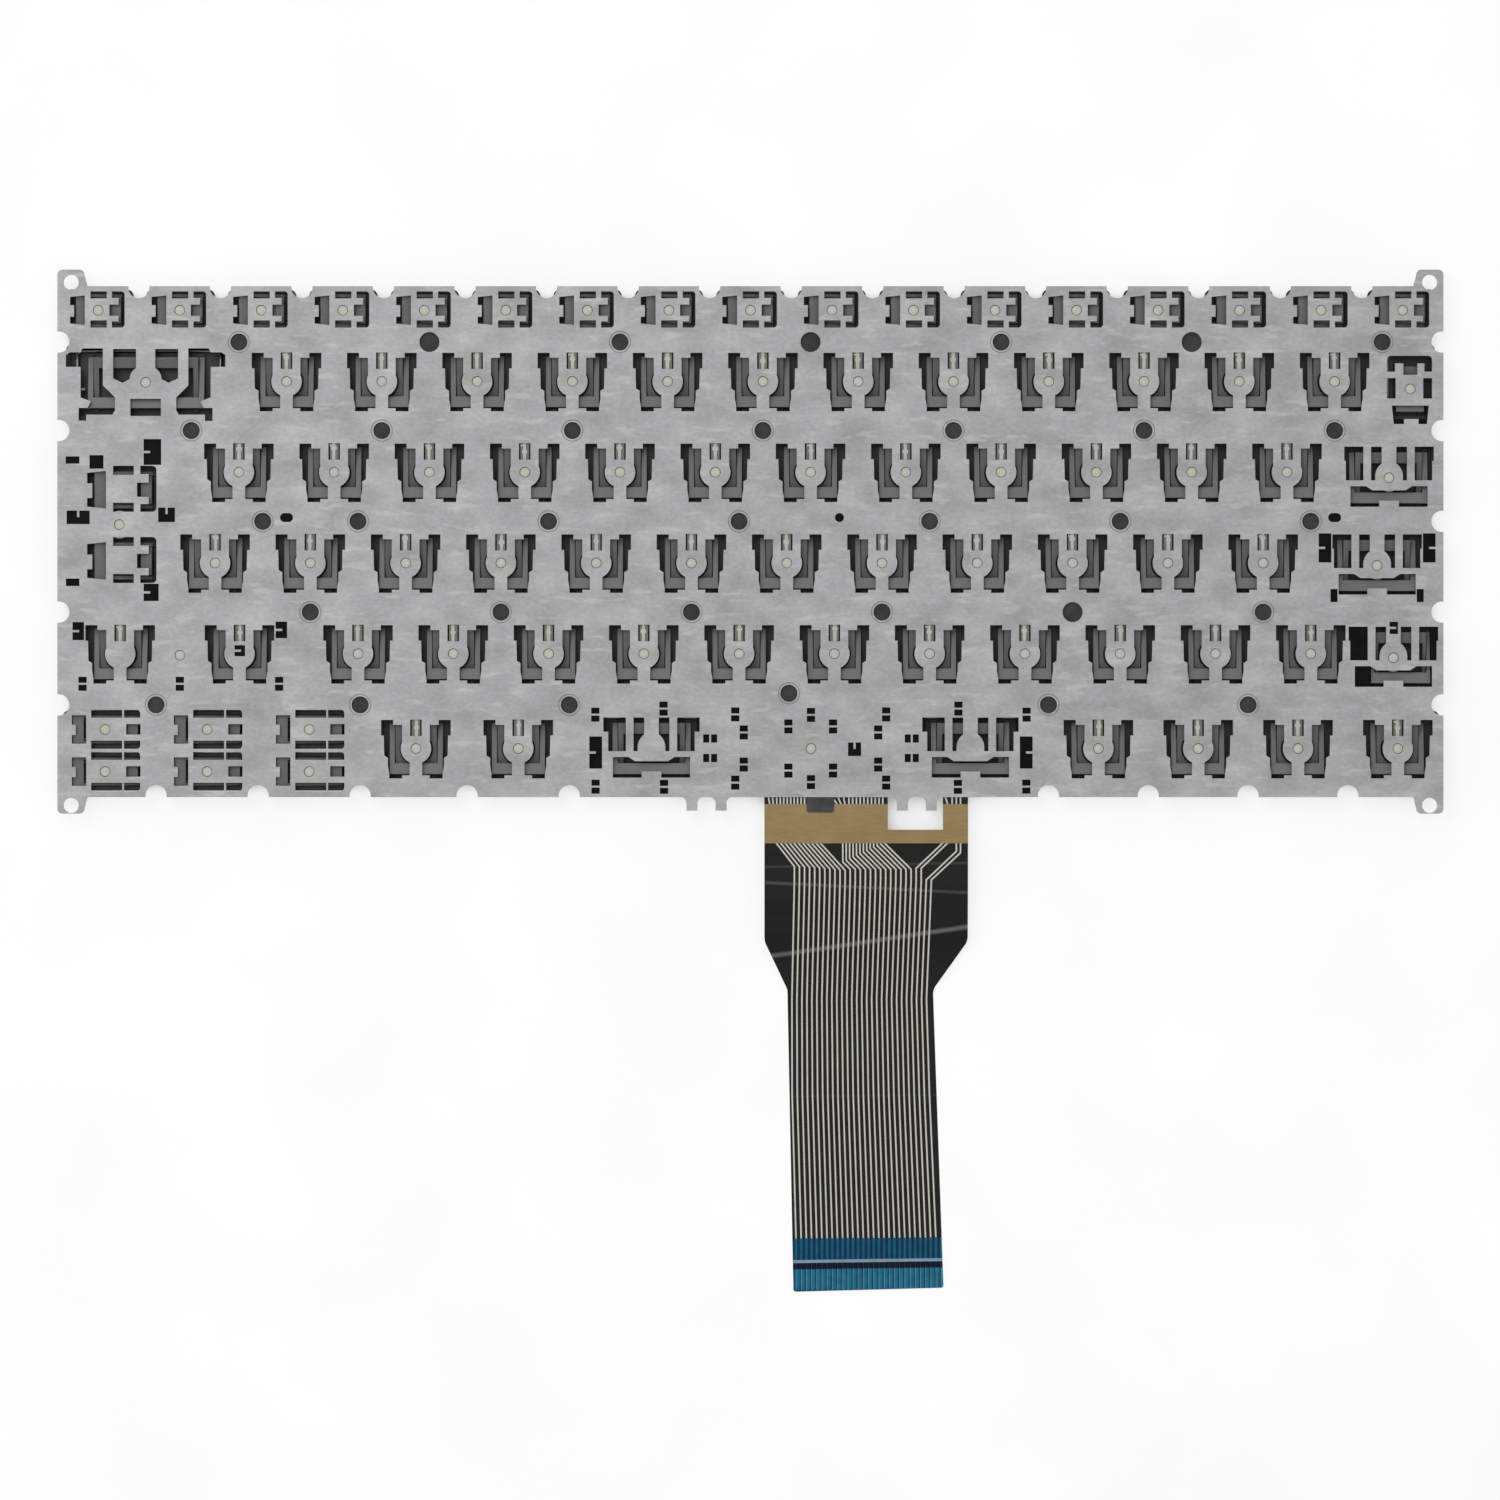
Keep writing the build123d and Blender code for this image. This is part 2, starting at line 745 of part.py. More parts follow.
wide_cut_out = wide_cut_outs(9.03, 9.03)
half_key_cut_outs = cut_outs([bar_window.scale(1.05)] + half_key_windows[1:])
cut_out_sets = [(unit_cut_outs, at, 0) for at in unit_ats + shift_lever_ats]
cut_out_sets += [(cut_outs(function_windows), at, 0) for at in function_ats]
cut_out_sets += [(cut_outs(enter_windows), at, 0) for at in (enter_upper_at, enter_lower_at)]
cut_out_sets += [(cut_outs(arrow_windows), at, 0) for at in arrow_ats]
cut_out_sets += [
    (half_key_cut_outs, half_key_at, 90),
    (backspace_cut_outs, backspace_at, 0),
    (wide_cut_outs(4.7, 7.6), left_shift_at, 0),
]
cut_out_sets += [(wide_cut_out, at, 0) for at in (tab_at, caps_at, space_left_at, space_right_at)]
film_windows = []
for wires, at, turn in cut_out_sets:
    film_windows += placed(wires, at, turn)

# Two membrane films: the stakes pass through the lower one
film_half = plate_half - film_inset
film_top = plate_top - film_inset
film_mouth = notch_mouth + 2 * film_margin
film_depth = notch_depth - film_inset + film_margin
bottom_notches = bottom_left_notches + bottom_right_notches
film_steps = [(-film_half, plate_bottom)]
film_steps += notches(bottom_notches, plate_bottom, 1, True, film_mouth, notch_depth + film_margin)
film_steps.append((film_half, plate_bottom))
film_steps += notches(right_line_ys, film_half, 1, False, film_mouth, film_depth)
film_steps.append((film_half, film_top))
film_steps += notches(top_notches, film_top, -1, True, film_mouth, film_depth)
film_steps.append((-film_half, film_top))
film_steps += notches(line_ys, -film_half, -1, False, film_mouth, film_depth)
film_edge = outline(*film_steps)
save("membrane_lower_film", [sheet(film_edge, film_windows + stakes, plate_front, film_thickness)])
save("membrane_upper_film", [sheet(film_edge, film_windows, film_split, film_thickness)])


# Rubber domes, hollow cones that stand on the membrane and reach to just short of the keycap
def dome(base, top):
    """One rubber dome at the origin."""
    height = film_front - ceiling_z - dome_clearance
    seat = Plane((0, 0, film_front), z_dir=(0, 0, -1))
    skin = Solid.make_cone(base / 2, top / 2, height, seat)
    hollow = Solid.make_cone(base / 2 - dome_wall, top / 2 - dome_wall, height - dome_wall, seat)
    return (skin - hollow).solid()


big_dome = dome(dome_base, dome_top)
small_dome = dome(small_dome_base, small_dome_top)
domes = [big_dome.moved(Location((x, y, 0))) for x, y in big_dome_ats]
domes += [small_dome.moved(Location((x, y, 0))) for x, y in small_dome_ats]
save("rubber_domes", domes)


# Crossed lever frames: the outer one is hinged at the plate on its low side, the inner one
# on its high side, and both slope down to the keycap
def lever_frame(half_width, reach, arm, tilt, opening):
    """Frame with its crossbar at the plate end, along Y: round inside, or U shaped."""
    frame = Rectangle(2 * half_width, 2 * reach)
    if opening > 0:
        frame -= Circle(opening / 2)
    else:
        frame -= Pos(0, lever_bar / 2) * Rectangle(2 * (half_width - arm), 2 * reach - lever_bar)
    frame = extrude(frame, lever_thickness / 2, both=True)
    middle_z = (film_front + ceiling_z) / 2
    return frame.solid().rotate(Axis.X, -tilt).moved(Location((0, 0, middle_z)))


def lever_pair(half_width, reach, arm, opening):
    """Outer and inner frame of one mechanism. An opening is the inner one's diameter round the dome."""
    room = film_front - ceiling_z - 2 * lever_clearance - lever_thickness
    tilt = math.degrees(math.asin(room / (2 * reach)))
    outer = lever_frame(half_width, reach, arm, tilt, 0)
    inner = lever_frame(half_width - arm - lever_gap, reach, arm, tilt, opening)
    return outer, inner.rotate(Axis.Z, 180)


unit_sizes = (unit_lever_half_width, unit_lever_reach, unit_lever_arm)
wide_sizes = (wide_lever_half_width, unit_lever_reach, unit_lever_arm)
narrow_sizes = (narrow_lever_half_width, unit_lever_reach, narrow_lever_arm)
backspace_sizes = (backspace_lever_half_width, unit_lever_reach, unit_lever_arm)
small_sizes = (small_lever_half_width, small_lever_reach, small_lever_arm)
arrow_sizes = (arrow_lever_half_width, arrow_lever_reach, arrow_lever_arm)
half_key_sizes = (arrow_lever_half_width, small_lever_reach, arrow_lever_arm)
enter_sizes = (enter_lever_half_width, enter_lever_reach, enter_lever_arm)
lever_places = [
    (unit_sizes, unit_lever_opening, unit_ats + shift_lever_ats, 0),
    (wide_sizes, 0, [tab_at, caps_at, space_left_at, space_right_at], 0),
    (narrow_sizes, 0, [left_shift_lever_at], 0),
    (backspace_sizes, 0, [backspace_at], 0),
    (small_sizes, 0, function_ats, -90),
    (enter_sizes, 0, [enter_upper_at, enter_lower_at], -90),
    (arrow_sizes, 0, arrow_ats, -90),
    (half_key_sizes, 0, [half_key_at], 0),
]
outer_frames = []
inner_frames = []
for sizes, opening, ats, turn in lever_places:
    outer, inner = lever_pair(*sizes, opening)
    for x, y in ats:
        outer_frames.append(outer.moved(Location((x, y, 0), (0, 0, turn))))
        inner_frames.append(inner.moved(Location((x, y, 0), (0, 0, turn))))
save("scissor_outer_frames", outer_frames)
save("scissor_inner_frames", inner_frames)


# Keycaps: hollow, open towards the plate, with lugs that guide the far ends of the levers
def lugs(sizes, at, turn):
    """Four lugs in a keycap's roof, just past the ends of a mechanism's levers."""
    half_width, reach, arm = sizes
    lug_y = reach + lever_clearance + lug_size / 2
    outer_x = half_width - arm / 2
    inner_x = half_width - arm - lever_gap - arm / 2
    block = Box(arm, lug_size, cap_roof / 2 + lug_height, align=(Align.CENTER, Align.CENTER, Align.MIN))
    place = Location((at[0], at[1], ceiling_z - cap_roof / 2), (0, 0, turn))
    spots = [(-outer_x, lug_y), (outer_x, lug_y), (-inner_x, -lug_y), (inner_x, -lug_y)]
    return [place * Pos(x, y, 0) * block for x, y in spots]


def hollow_cap(shape, hollow, mechanisms):
    """Keycap with the outline of a sketch, and the lugs for its mechanisms."""
    skirt = Pos(0, 0, skirt_z)
    body = extrude(skirt * shape, cap_height, dir=(0, 0, -1))
    body = fillet(body.faces().sort_by(Axis.Z)[0].edges(), cap_edge)
    body -= extrude(skirt * hollow, cap_height - cap_roof, dir=(0, 0, -1))
    for sizes, at, turn in mechanisms:
        for lug in lugs(sizes, at, turn):
            body += lug
    return body.solid()


def keycap(span, row, depth, mechanisms):
    """Rectangular keycap over a span of X, centred on a row."""
    width = span[1] - span[0]
    centre = Pos(middle(span), row)
    shape = centre * RectangleRounded(width, depth, cap_corner)
    inner_corner = max(cap_corner - cap_wall, cap_corner / 4)
    hollow = centre * RectangleRounded(width - 2 * cap_wall, depth - 2 * cap_wall, inner_corner)
    return hollow_cap(shape, hollow, mechanisms)


def spread(size):
    """A span of the given size about zero."""
    return -size / 2, size / 2


letter_cap = keycap(spread(cap_width), 0, cap_depth, [(unit_sizes, (0, 0), 0)])
letter_rows = [
    (top_row_y, top_xs, "q w e r t y u i o p left_bracket right_bracket"),
    (home_row_y, home_xs, "a s d f g h j k l semicolon apostrophe hash"),
    (lower_row_y, lower_xs, "backslash z x c v b n m comma period slash"),
]
for row, xs, names in letter_rows:
    for x, name in zip(xs, names.split()):
        save(name + "_keycap", [letter_cap.moved(Location((x, row, 0)))])

save("tab_keycap", [keycap(tab_span, top_row_y, cap_depth, [(wide_sizes, tab_at, 0)])])
save("caps_lock_keycap", [keycap(caps_span, home_row_y, cap_depth, [(wide_sizes, caps_at, 0)])])
shift_cap = keycap(left_shift_span, lower_row_y, cap_depth, [(narrow_sizes, left_shift_lever_at, 0)])
save("left_shift_keycap", [shift_cap])
backspace_cap = keycap(backspace_span, number_row_y, cap_depth, [(backspace_sizes, backspace_at, 0)])
save("backspace_keycap", [backspace_cap])
shift_mechanisms = [(unit_sizes, at, 0) for at in shift_lever_ats]
save("right_shift_keycap", [keycap(right_shift_span, lower_row_y, cap_depth, shift_mechanisms)])
space_mechanisms = [(wide_sizes, at, 0) for at in (space_left_at, space_right_at)]
save("space_keycap", [keycap(space_span, space_row_y, cap_depth, space_mechanisms)])

# Enter is L shaped: it covers two rows and is narrower on the lower one
enter_top = top_row_y + cap_depth / 2
enter_bottom = home_row_y - cap_depth / 2
enter_step = top_row_y - cap_depth / 2


def enter_shape(inset, corner):
    """Outline of the enter key, set in from its edge."""
    left = enter_span[0] + inset
    corners = [
        (left, enter_bottom + inset),
        (enter_foot_span[1] - inset, enter_bottom + inset),
        (enter_foot_span[1] - inset, enter_step + inset),
        (enter_span[1] - inset, enter_step + inset),
        (enter_span[1] - inset, enter_top - inset),
        (left, enter_top - inset),
    ]
    face = make_face(Polyline(*corners, close=True))
    return fillet(face.vertices(), corner)


enter_mechanisms = [(enter_sizes, at, -90) for at in (enter_upper_at, enter_lower_at)]
enter_corner = max(cap_corner - cap_wall, cap_corner / 4)
enter_cap = hollow_cap(enter_shape(0, cap_corner), enter_shape(cap_wall, enter_corner), enter_mechanisms)
save("enter_keycap", [enter_cap])

# Rows of keys that share a node
number_caps = [letter_cap.moved(Location((x, number_row_y, 0))) for x in number_xs]
number_caps.append(keycap(half_span, number_row_y, cap_depth, [(half_key_sizes, half_key_at, 0)]))
save("number_row_keycaps", number_caps)
function_cap = keycap(spread(function_cap_width), 0, function_cap_depth, [(small_sizes, (0, 0), -90)])
save("function_row_keycaps", [function_cap.moved(Location((x, y, 0))) for x, y in function_ats])
modifier_key = keycap(spread(modifier_cap), 0, cap_depth, [(unit_sizes, (0, 0), 0)])
right_modifier_key = keycap(spread(right_modifier_cap), 0, cap_depth, [(unit_sizes, (0, 0), 0)])
bottom_caps = [modifier_key.moved(Location((x, space_row_y, 0))) for x in modifier_xs]
bottom_caps += [right_modifier_key.moved(Location((x, space_row_y, 0))) for x in right_modifier_xs]
save("bottom_row_keycaps", bottom_caps)
arrow_span = spread(arrow_pitch - cap_gap)
arrow_cap = keycap(arrow_span, 0, arrow_row_pitch - arrow_gap, [(arrow_sizes, (0, 0), -90)])
save("arrow_block_keycaps", [arrow_cap.moved(Location((x, y, 0))) for x, y in arrow_ats])

# Stabiliser wires: the long run turns under the keycap's roof and the legs reach to the plate
wire_z = ceiling_z + wire_clearance + wire_diameter / 2
wire_rise = film_front - wire_clearance - wire_diameter / 2 - wire_z
wire_tilt = math.degrees(math.asin(wire_rise / wire_leg))
wire_inset = cap_wall + wire_clearance + wire_diameter / 2
wire_y = cap_depth / 2 - wire_inset


def stabiliser(length):
    """Wire along X with two legs towards -Y and hooked ends, sloped up to the plate."""
    half = length / 2
    points = [
        (-half + wire_hook, -wire_leg),
        (-half, -wire_leg),
        (-half, 0),
        (half, 0),
        (half, -wire_leg),
        (half - wire_hook, -wire_leg),
    ]
    path = FilletPolyline(*points, radius=wire_bend)
    section = Plane(path @ 0, z_dir=path % 0) * Circle(wire_diameter / 2)
    return sweep(section, path).solid().rotate(Axis.X, -wire_tilt)


wire_keys = [
    ("backspace", backspace_span, number_row_y),
    ("caps_lock", caps_span, home_row_y),
    ("right_shift", right_shift_span, lower_row_y),
    ("space", space_span, space_row_y),
]
for name, span, row in wire_keys:
    length = span[1] - span[0] - 2 * (wire_inset + wire_end_inset)
    wire = stabiliser(length).moved(Location((middle(span), row + wire_y, wire_z)))
    save(name + "_stabiliser_wire", [wire])
enter_length = enter_top - enter_bottom - 2 * (wire_inset + wire_end_inset)
enter_wire = stabiliser(enter_length).rotate(Axis.Z, 90)
enter_wire_at = (enter_span[0] + wire_inset, (enter_top + enter_bottom) / 2, wire_z)
save("enter_stabiliser_wire", [enter_wire.moved(Location(enter_wire_at))])

# Ribbon cable: flat at the membrane, eased down to the table, then flat to its end
cable_start_z = plate_front - film_thickness / 2
cable_end_z = key_top_z + film_thickness / 2
cable_drop = cable_start_z - cable_end_z
ramp_radius = (cable_ramp**2 + cable_drop**2) / (4 * cable_drop)
ramp_angle = math.asin(cable_ramp / 2 / ramp_radius)
ramp_start = plate_bottom - cable_flat
ramp_end = ramp_start - cable_ramp
cable_end = plate_bottom - cable_length
half_sag = ramp_radius * (1 - math.cos(ramp_angle / 2))
half_run = ramp_radius * math.sin(ramp_angle / 2)
ramp_middle = (0, (ramp_start + ramp_end) / 2, (cable_start_z + cable_end_z) / 2)
upper_arc = (0, ramp_start - half_run, cable_start_z - half_sag)
lower_arc = (0, ramp_end + half_run, cable_end_z + half_sag)
cable_path = Wire(
    [
        Line((0, plate_bottom, cable_start_z), (0, ramp_start, cable_start_z)),
        ThreePointArc((0, ramp_start, cable_start_z), upper_arc, ramp_middle),
        ThreePointArc(ramp_middle, lower_arc, (0, ramp_end, cable_end_z)),
        Line((0, ramp_end, cable_end_z), (0, cable_end, cable_end_z)),
    ]
)
cable_centre = cable_left + cable_width / 2
cable_root = Plane((cable_centre, plate_bottom, cable_start_z), x_dir=(1, 0, 0), z_dir=(0, -1, 0))
cable_section = cable_root * Rectangle(2 * cable_width, film_thickness)
shoulder_y = plate_bottom - cable_shoulder
neck_y = shoulder_y - cable_taper


def cable_side(side, y):
    """X of the narrow part's left or right edge, which leans a little to the right."""
    share = (neck_y - y) / (neck_y - cable_end)
    left = cable_neck_left + cable_lean * share
    return left if side < 0 else left + cable_neck_width + cable_spread * share


cable_right = cable_left + cable_width
notch_right = cable_notch_left + cable_notch_width
notch_end = plate_bottom - cable_notch_depth
cable_corners = [
    (cable_left, plate_bottom),
    (cable_left, shoulder_y),
    (cable_side(-1, neck_y), neck_y),
    (cable_side(-1, cable_end), cable_end),
    (cable_side(1, cable_end), cable_end + cable_slant),
    (cable_side(1, neck_y), neck_y),
    (cable_right, shoulder_y),
    (cable_right, plate_bottom),
    (notch_right, plate_bottom),
    (notch_right, notch_end),
    (cable_notch_left, notch_end),
    (cable_notch_left, plate_bottom),
]
cable_shape = make_face(Polyline(*cable_corners, close=True))
round_corners = cable_shape.vertices().filter_by(lambda v: neck_y - 0.1 < v.Y < shoulder_y + 0.1)
cable_shape = fillet(round_corners, cable_round)
cable_shape = fillet(cable_shape.vertices().sort_by(Axis.Y)[:2], cable_corner)
cable_block = extrude(Pos(0, 0, key_top_z - 1) * cable_shape, -key_top_z + 1)
cable = sweep(cable_section, cable_path) & cable_block
save("ribbon_cable", [cable.solid()])

# Tape across the cable's root, open round the prongs, and the stiffener under its end
tape_top = plate_bottom - tape_start
tape_bottom = tape_top - tape_length
tape_edge = outline(
    (cable_left, tape_top),
    (cable_left, tape_bottom),
    (cable_right, tape_bottom),
    (cable_right, tape_top),
    (notch_right, tape_top),
    (notch_right, notch_end),
    (cable_notch_left, notch_end),
    (cable_notch_left, tape_top),
)
save("cable_tape", [sheet(tape_edge, [], plate_front + tape_thickness, tape_thickness)])
stiffener_y = cable_end + stiffener_length
stiffener_corners = [
    (cable_side(-1, stiffener_y), stiffener_y),
    (cable_side(-1, cable_end), cable_end),
    (cable_side(1, cable_end), cable_end + cable_slant),
    (cable_side(1, stiffener_y), stiffener_y + stiffener_slant),
]
stiffener_shape = make_face(Polyline(*stiffener_corners, close=True))
stiffener_shape = fillet(stiffener_shape.vertices().sort_by(Axis.Y)[:2], cable_corner)
stiffener_edge = stiffener_shape.face().outer_wire()
stiffener_top = key_top_z + film_thickness + stiffener_thickness
save("cable_stiffener", [sheet(stiffener_edge, [], stiffener_top, stiffener_thickness)])
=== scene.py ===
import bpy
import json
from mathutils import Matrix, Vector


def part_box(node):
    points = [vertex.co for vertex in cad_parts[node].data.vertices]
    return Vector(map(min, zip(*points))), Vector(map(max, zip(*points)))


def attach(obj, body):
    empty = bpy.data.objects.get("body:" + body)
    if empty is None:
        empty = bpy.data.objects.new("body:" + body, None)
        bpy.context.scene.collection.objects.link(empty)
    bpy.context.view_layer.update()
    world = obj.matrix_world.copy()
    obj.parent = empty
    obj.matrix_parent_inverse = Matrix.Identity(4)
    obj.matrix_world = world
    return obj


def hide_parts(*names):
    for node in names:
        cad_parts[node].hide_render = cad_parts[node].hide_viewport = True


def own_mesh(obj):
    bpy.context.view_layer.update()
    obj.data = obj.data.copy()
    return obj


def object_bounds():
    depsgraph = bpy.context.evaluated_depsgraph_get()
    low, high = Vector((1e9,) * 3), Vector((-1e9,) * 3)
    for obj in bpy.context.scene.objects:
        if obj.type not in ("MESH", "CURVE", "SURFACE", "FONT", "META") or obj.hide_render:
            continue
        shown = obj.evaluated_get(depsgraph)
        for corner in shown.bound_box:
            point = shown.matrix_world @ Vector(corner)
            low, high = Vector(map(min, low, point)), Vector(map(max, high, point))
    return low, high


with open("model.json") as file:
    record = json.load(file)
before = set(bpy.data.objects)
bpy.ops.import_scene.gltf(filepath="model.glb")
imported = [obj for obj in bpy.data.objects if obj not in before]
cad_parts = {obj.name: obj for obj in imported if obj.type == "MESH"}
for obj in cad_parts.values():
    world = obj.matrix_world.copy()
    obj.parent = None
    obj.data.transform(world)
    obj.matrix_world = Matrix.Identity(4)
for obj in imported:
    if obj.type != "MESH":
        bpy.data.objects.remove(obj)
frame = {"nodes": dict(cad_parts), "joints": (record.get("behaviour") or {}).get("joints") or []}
cad_box = [list(corner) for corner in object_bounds()]

import json
import math
import random

import bpy
from mathutils import Vector
from mathutils.bvhtree import BVHTree

# Back plate: one sheet of zinc coated steel, blanked and pressed, with the lever windows
# punched through it. The dull coating is cloudy, with faint marks along the rolling
# direction, and the punched edges are left bright.

MM = 0.001


def linear(hex_colour):
    """Linear RGBA of an sRGB hex colour."""
    channels = [int(hex_colour[index : index + 2], 16) / 255 for index in (1, 3, 5)]
    curve = [c / 12.92 if c <= 0.04045 else ((c + 0.055) / 1.055) ** 2.4 for c in channels]
    return (*curve, 1.0)


def add_node(material, kind, inputs=None, stops=None, **settings):
    """New shader node with settings, its inputs linked or set, and its colour stops."""
    node = material.node_tree.nodes.new(kind)
    for name, value in settings.items():
        setattr(node, name, value)
    for name, value in (inputs or {}).items():
        if isinstance(value, bpy.types.NodeSocket):
            material.node_tree.links.new(value, node.inputs[name])
        else:
            node.inputs[name].default_value = value
    if stops:
        elements = node.color_ramp.elements
        while len(elements) < len(stops):
            elements.new(0.5)
        for element, (position, colour) in zip(elements, stops):
            element.position = position
            element.color = linear(colour)
    return node


def new_material(name):
    """Node material with its shader, and the place on the object in metres."""
    material = bpy.data.materials.new(name)
    material.use_nodes = True
    shader = material.node_tree.nodes["Principled BSDF"]
    place = add_node(material, "ShaderNodeTexCoord").outputs["Object"]
    return material, shader, place


def finish_surface(material, shader, height=None, depth_mm=0.0, **sockets):
    """Link or set the shader's sockets, and bump it by a height of a depth in millimetres."""
    for name, value in sockets.items():
        socket = shader.inputs[name.replace("_", " ")]
        if isinstance(value, bpy.types.NodeSocket):
            material.node_tree.links.new(value, socket)
        else:
            socket.default_value = value
    if height is not None:
        bump = add_node(material, "ShaderNodeBump", {"Height": height, "Distance": depth_mm * MM})
        material.node_tree.links.new(bump.outputs["Normal"], shader.inputs["Normal"])
    return material


def zinc_coated_steel():
    """Dull coated steel sheet: cloudy grey, streaked along its length, finely speckled."""
    material, shader, place = new_material("dull zinc coated steel sheet")
    along = add_node(
        material, "ShaderNodeMapping", {"Vector": place, "Scale": (0.7, 1, 1)}
    ).outputs[0]
    rolled = add_node(
        material, "ShaderNodeMapping", {"Vector": place, "Scale": (0.25, 1, 1)}
    ).outputs[0]
    clouds = add_node(
        material, "ShaderNodeTexNoise", {"Vector": along, "Scale": 1 / (6 * MM), "Detail": 6.0}
    )
    streaks = add_node(
        material, "ShaderNodeTexNoise", {"Vector": rolled, "Scale": 1 / (3 * MM), "Detail": 4.0}
    )
    specks = add_node(
        material, "ShaderNodeTexNoise", {"Vector": along, "Scale": 1 / (0.7 * MM), "Detail": 3.0}
    )
    smears = add_node(
        material, "ShaderNodeTexNoise", {"Vector": rolled, "Scale": 1 / (1.7 * MM), "Detail": 5.0}
    )
    base = add_node(
        material, "ShaderNodeValToRGB", {"Fac": clouds.outputs["Fac"]},
        stops=[(0.3, "#9C9C9D"), (0.5, "#A9A9AB"), (0.7, "#B6B6B7")],
    )
    marks = add_node(
        material, "ShaderNodeValToRGB", {"Fac": streaks.outputs["Fac"]},
        stops=[(0.35, "#9A9A9A"), (0.62, "#FFFFFF")],
    )
    grit = add_node(
        material, "ShaderNodeValToRGB", {"Fac": specks.outputs["Fac"]},
        stops=[(0.4, "#CCCCCC"), (0.62, "#FFFFFF")],
    )
    streaked = add_node(
        material, "ShaderNodeMix", {0: 0.12, 6: base.outputs["Color"], 7: marks.outputs["Color"]},
        data_type="RGBA", blend_type="MULTIPLY",
    )
    gritty = add_node(
        material, "ShaderNodeMix", {0: 0.25, 6: streaked.outputs[2], 7: grit.outputs["Color"]},
        data_type="RGBA", blend_type="MULTIPLY",
    )
    rubbed = add_node(
        material, "ShaderNodeValToRGB", {"Fac": smears.outputs["Fac"]},
        stops=[(0.58, "#000000"), (0.66, "#A8A8A8")],
    )
    colour = add_node(
        material, "ShaderNodeMix",
        {0: rubbed.outputs["Color"], 6: gritty.outputs[2], 7: linear("#C2C2C2")}, data_type="RGBA",
    )
    rough = add_node(
        material, "ShaderNodeMapRange", {"Value": streaks.outputs["Fac"], "To Min": 0.45, "To Max": 0.62}
    )
    return finish_surface(
        material, shader, streaks.outputs["Fac"], 0.01,
        Base_Color=colour.outputs[2], Roughness=rough.outputs["Result"], Metallic=0.35,
    )


def paint(material, *nodes):
    """Give CAD nodes a material."""
    for name in nodes:
        slots = frame["nodes"][name].data.materials
        slots.clear()
        slots.append(material)


def soften(obj, width_mm):
    """Small bevel on the sharp edges, as punching and moulding leave."""
    bevel = obj.modifiers.new("edge", "BEVEL")
    bevel.width = width_mm * MM
    bevel.segments = 1
    bevel.limit_method = "ANGLE"
    bevel.angle_limit = math.radians(40)


paint(zinc_coated_steel(), "base_plate")
soften(frame["nodes"]["base_plate"], width_mm=0.05)

# Membrane: two printed polyester films, glued together under the plate. The back one is
# black, and the front one closes the stake holes; its dark grey there is painted shade.


def printed_film(name, dark, light, roughness, shine=0.15):
    """Printed polyester film: smooth, with a faint mottle of the ink."""
    material, shader, place = new_material(name)
    mottle = add_node(
        material, "ShaderNodeTexNoise", {"Vector": place, "Scale": 1 / (2.5 * MM), "Detail": 4.0}
    )
    ink = add_node(
        material, "ShaderNodeValToRGB", {"Fac": mottle.outputs["Fac"]}, stops=[(0.3, dark), (0.7, light)]
    )
    rough = add_node(
        material, "ShaderNodeMapRange",
        {"Value": mottle.outputs["Fac"], "To Min": roughness, "To Max": roughness + 0.15},
    )
    return finish_surface(
        material, shader, mottle.outputs["Fac"], 0.005,
        Base_Color=ink.outputs["Color"], Roughness=rough.outputs["Result"], Specular_IOR_Level=shine,
    )


paint(printed_film("black printed polyester film", "#080808", "#121212", 0.4, 0.06), "membrane_lower_film")
# The front film's dark grey is painted shade where it shows through the stake holes.
paint(printed_film("polyester film painted dark grey as stake hole shade", "#303030", "#3E3E3E", 0.5), "membrane_upper_film")
film_back_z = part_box("membrane_lower_film")[1].z

# Rubber domes and crossed lever frames: a moulded silicone dome and two moulded acetal
# levers under each key. They fold with the key, so each moving key has pieces of its own.


def loose_solids(name):
    """Separate solids of a CAD node, each as (points, faces, centre)."""
    mesh = frame["nodes"][name].data
    welded = {}
    points = []
    number = []
    for vertex in mesh.vertices:
        key = tuple(round(value, 7) for value in vertex.co)
        if key not in welded:
            welded[key] = len(points)
            points.append(vertex.co.copy())
        number.append(welded[key])
    root = list(range(len(points)))

    def find(index):
        while root[index] != index:
            root[index] = root[root[index]]
            index = root[index]
        return index

    faces = [[number[index] for index in polygon.vertices] for polygon in mesh.polygons]
    faces = [face for face in faces if len(set(face)) == len(face)]
    for face in faces:
        for index in face[1:]:
            root[find(index)] = find(face[0])
    groups = {}
    for face in faces:
        groups.setdefault(find(face[0]), []).append(face)
    solids = []
    for group in groups.values():
        used = sorted({index for face in group for index in face})
        local = {index: place for place, index in enumerate(used)}
        corners = [points[index] for index in used]
        low = Vector([min(corner[axis] for corner in corners) for axis in range(3)])
        high = Vector([max(corner[axis] for corner in corners) for axis in range(3)])
        solids.append((corners, [[local[index] for index in face] for face in group], (low + high) / 2))
    return solids


def mesh_piece(name, shapes, materials, origin=(0, 0, 0)):
    """One object made of (points, faces, material number) shapes, with its own origin."""
    points = []
    faces = []
    numbers = []
    for corners, group, number in shapes:
        faces += [[index + len(points) for index in face] for face in group]
        points += [Vector(corner) - Vector(origin) for corner in corners]
        numbers += [number] * len(group)
    mesh = bpy.data.meshes.new(name)
    mesh.from_pydata(points, [], faces)
    for material in materials:
        mesh.materials.append(material)
    mesh.polygons.foreach_set("material_index", numbers)
    mesh.shade_smooth()
    mesh.set_sharp_from_angle(angle=math.radians(35))
    piece = bpy.data.objects.new(name, mesh)
    piece.location = origin
    bpy.context.collection.objects.link(piece)
    return piece


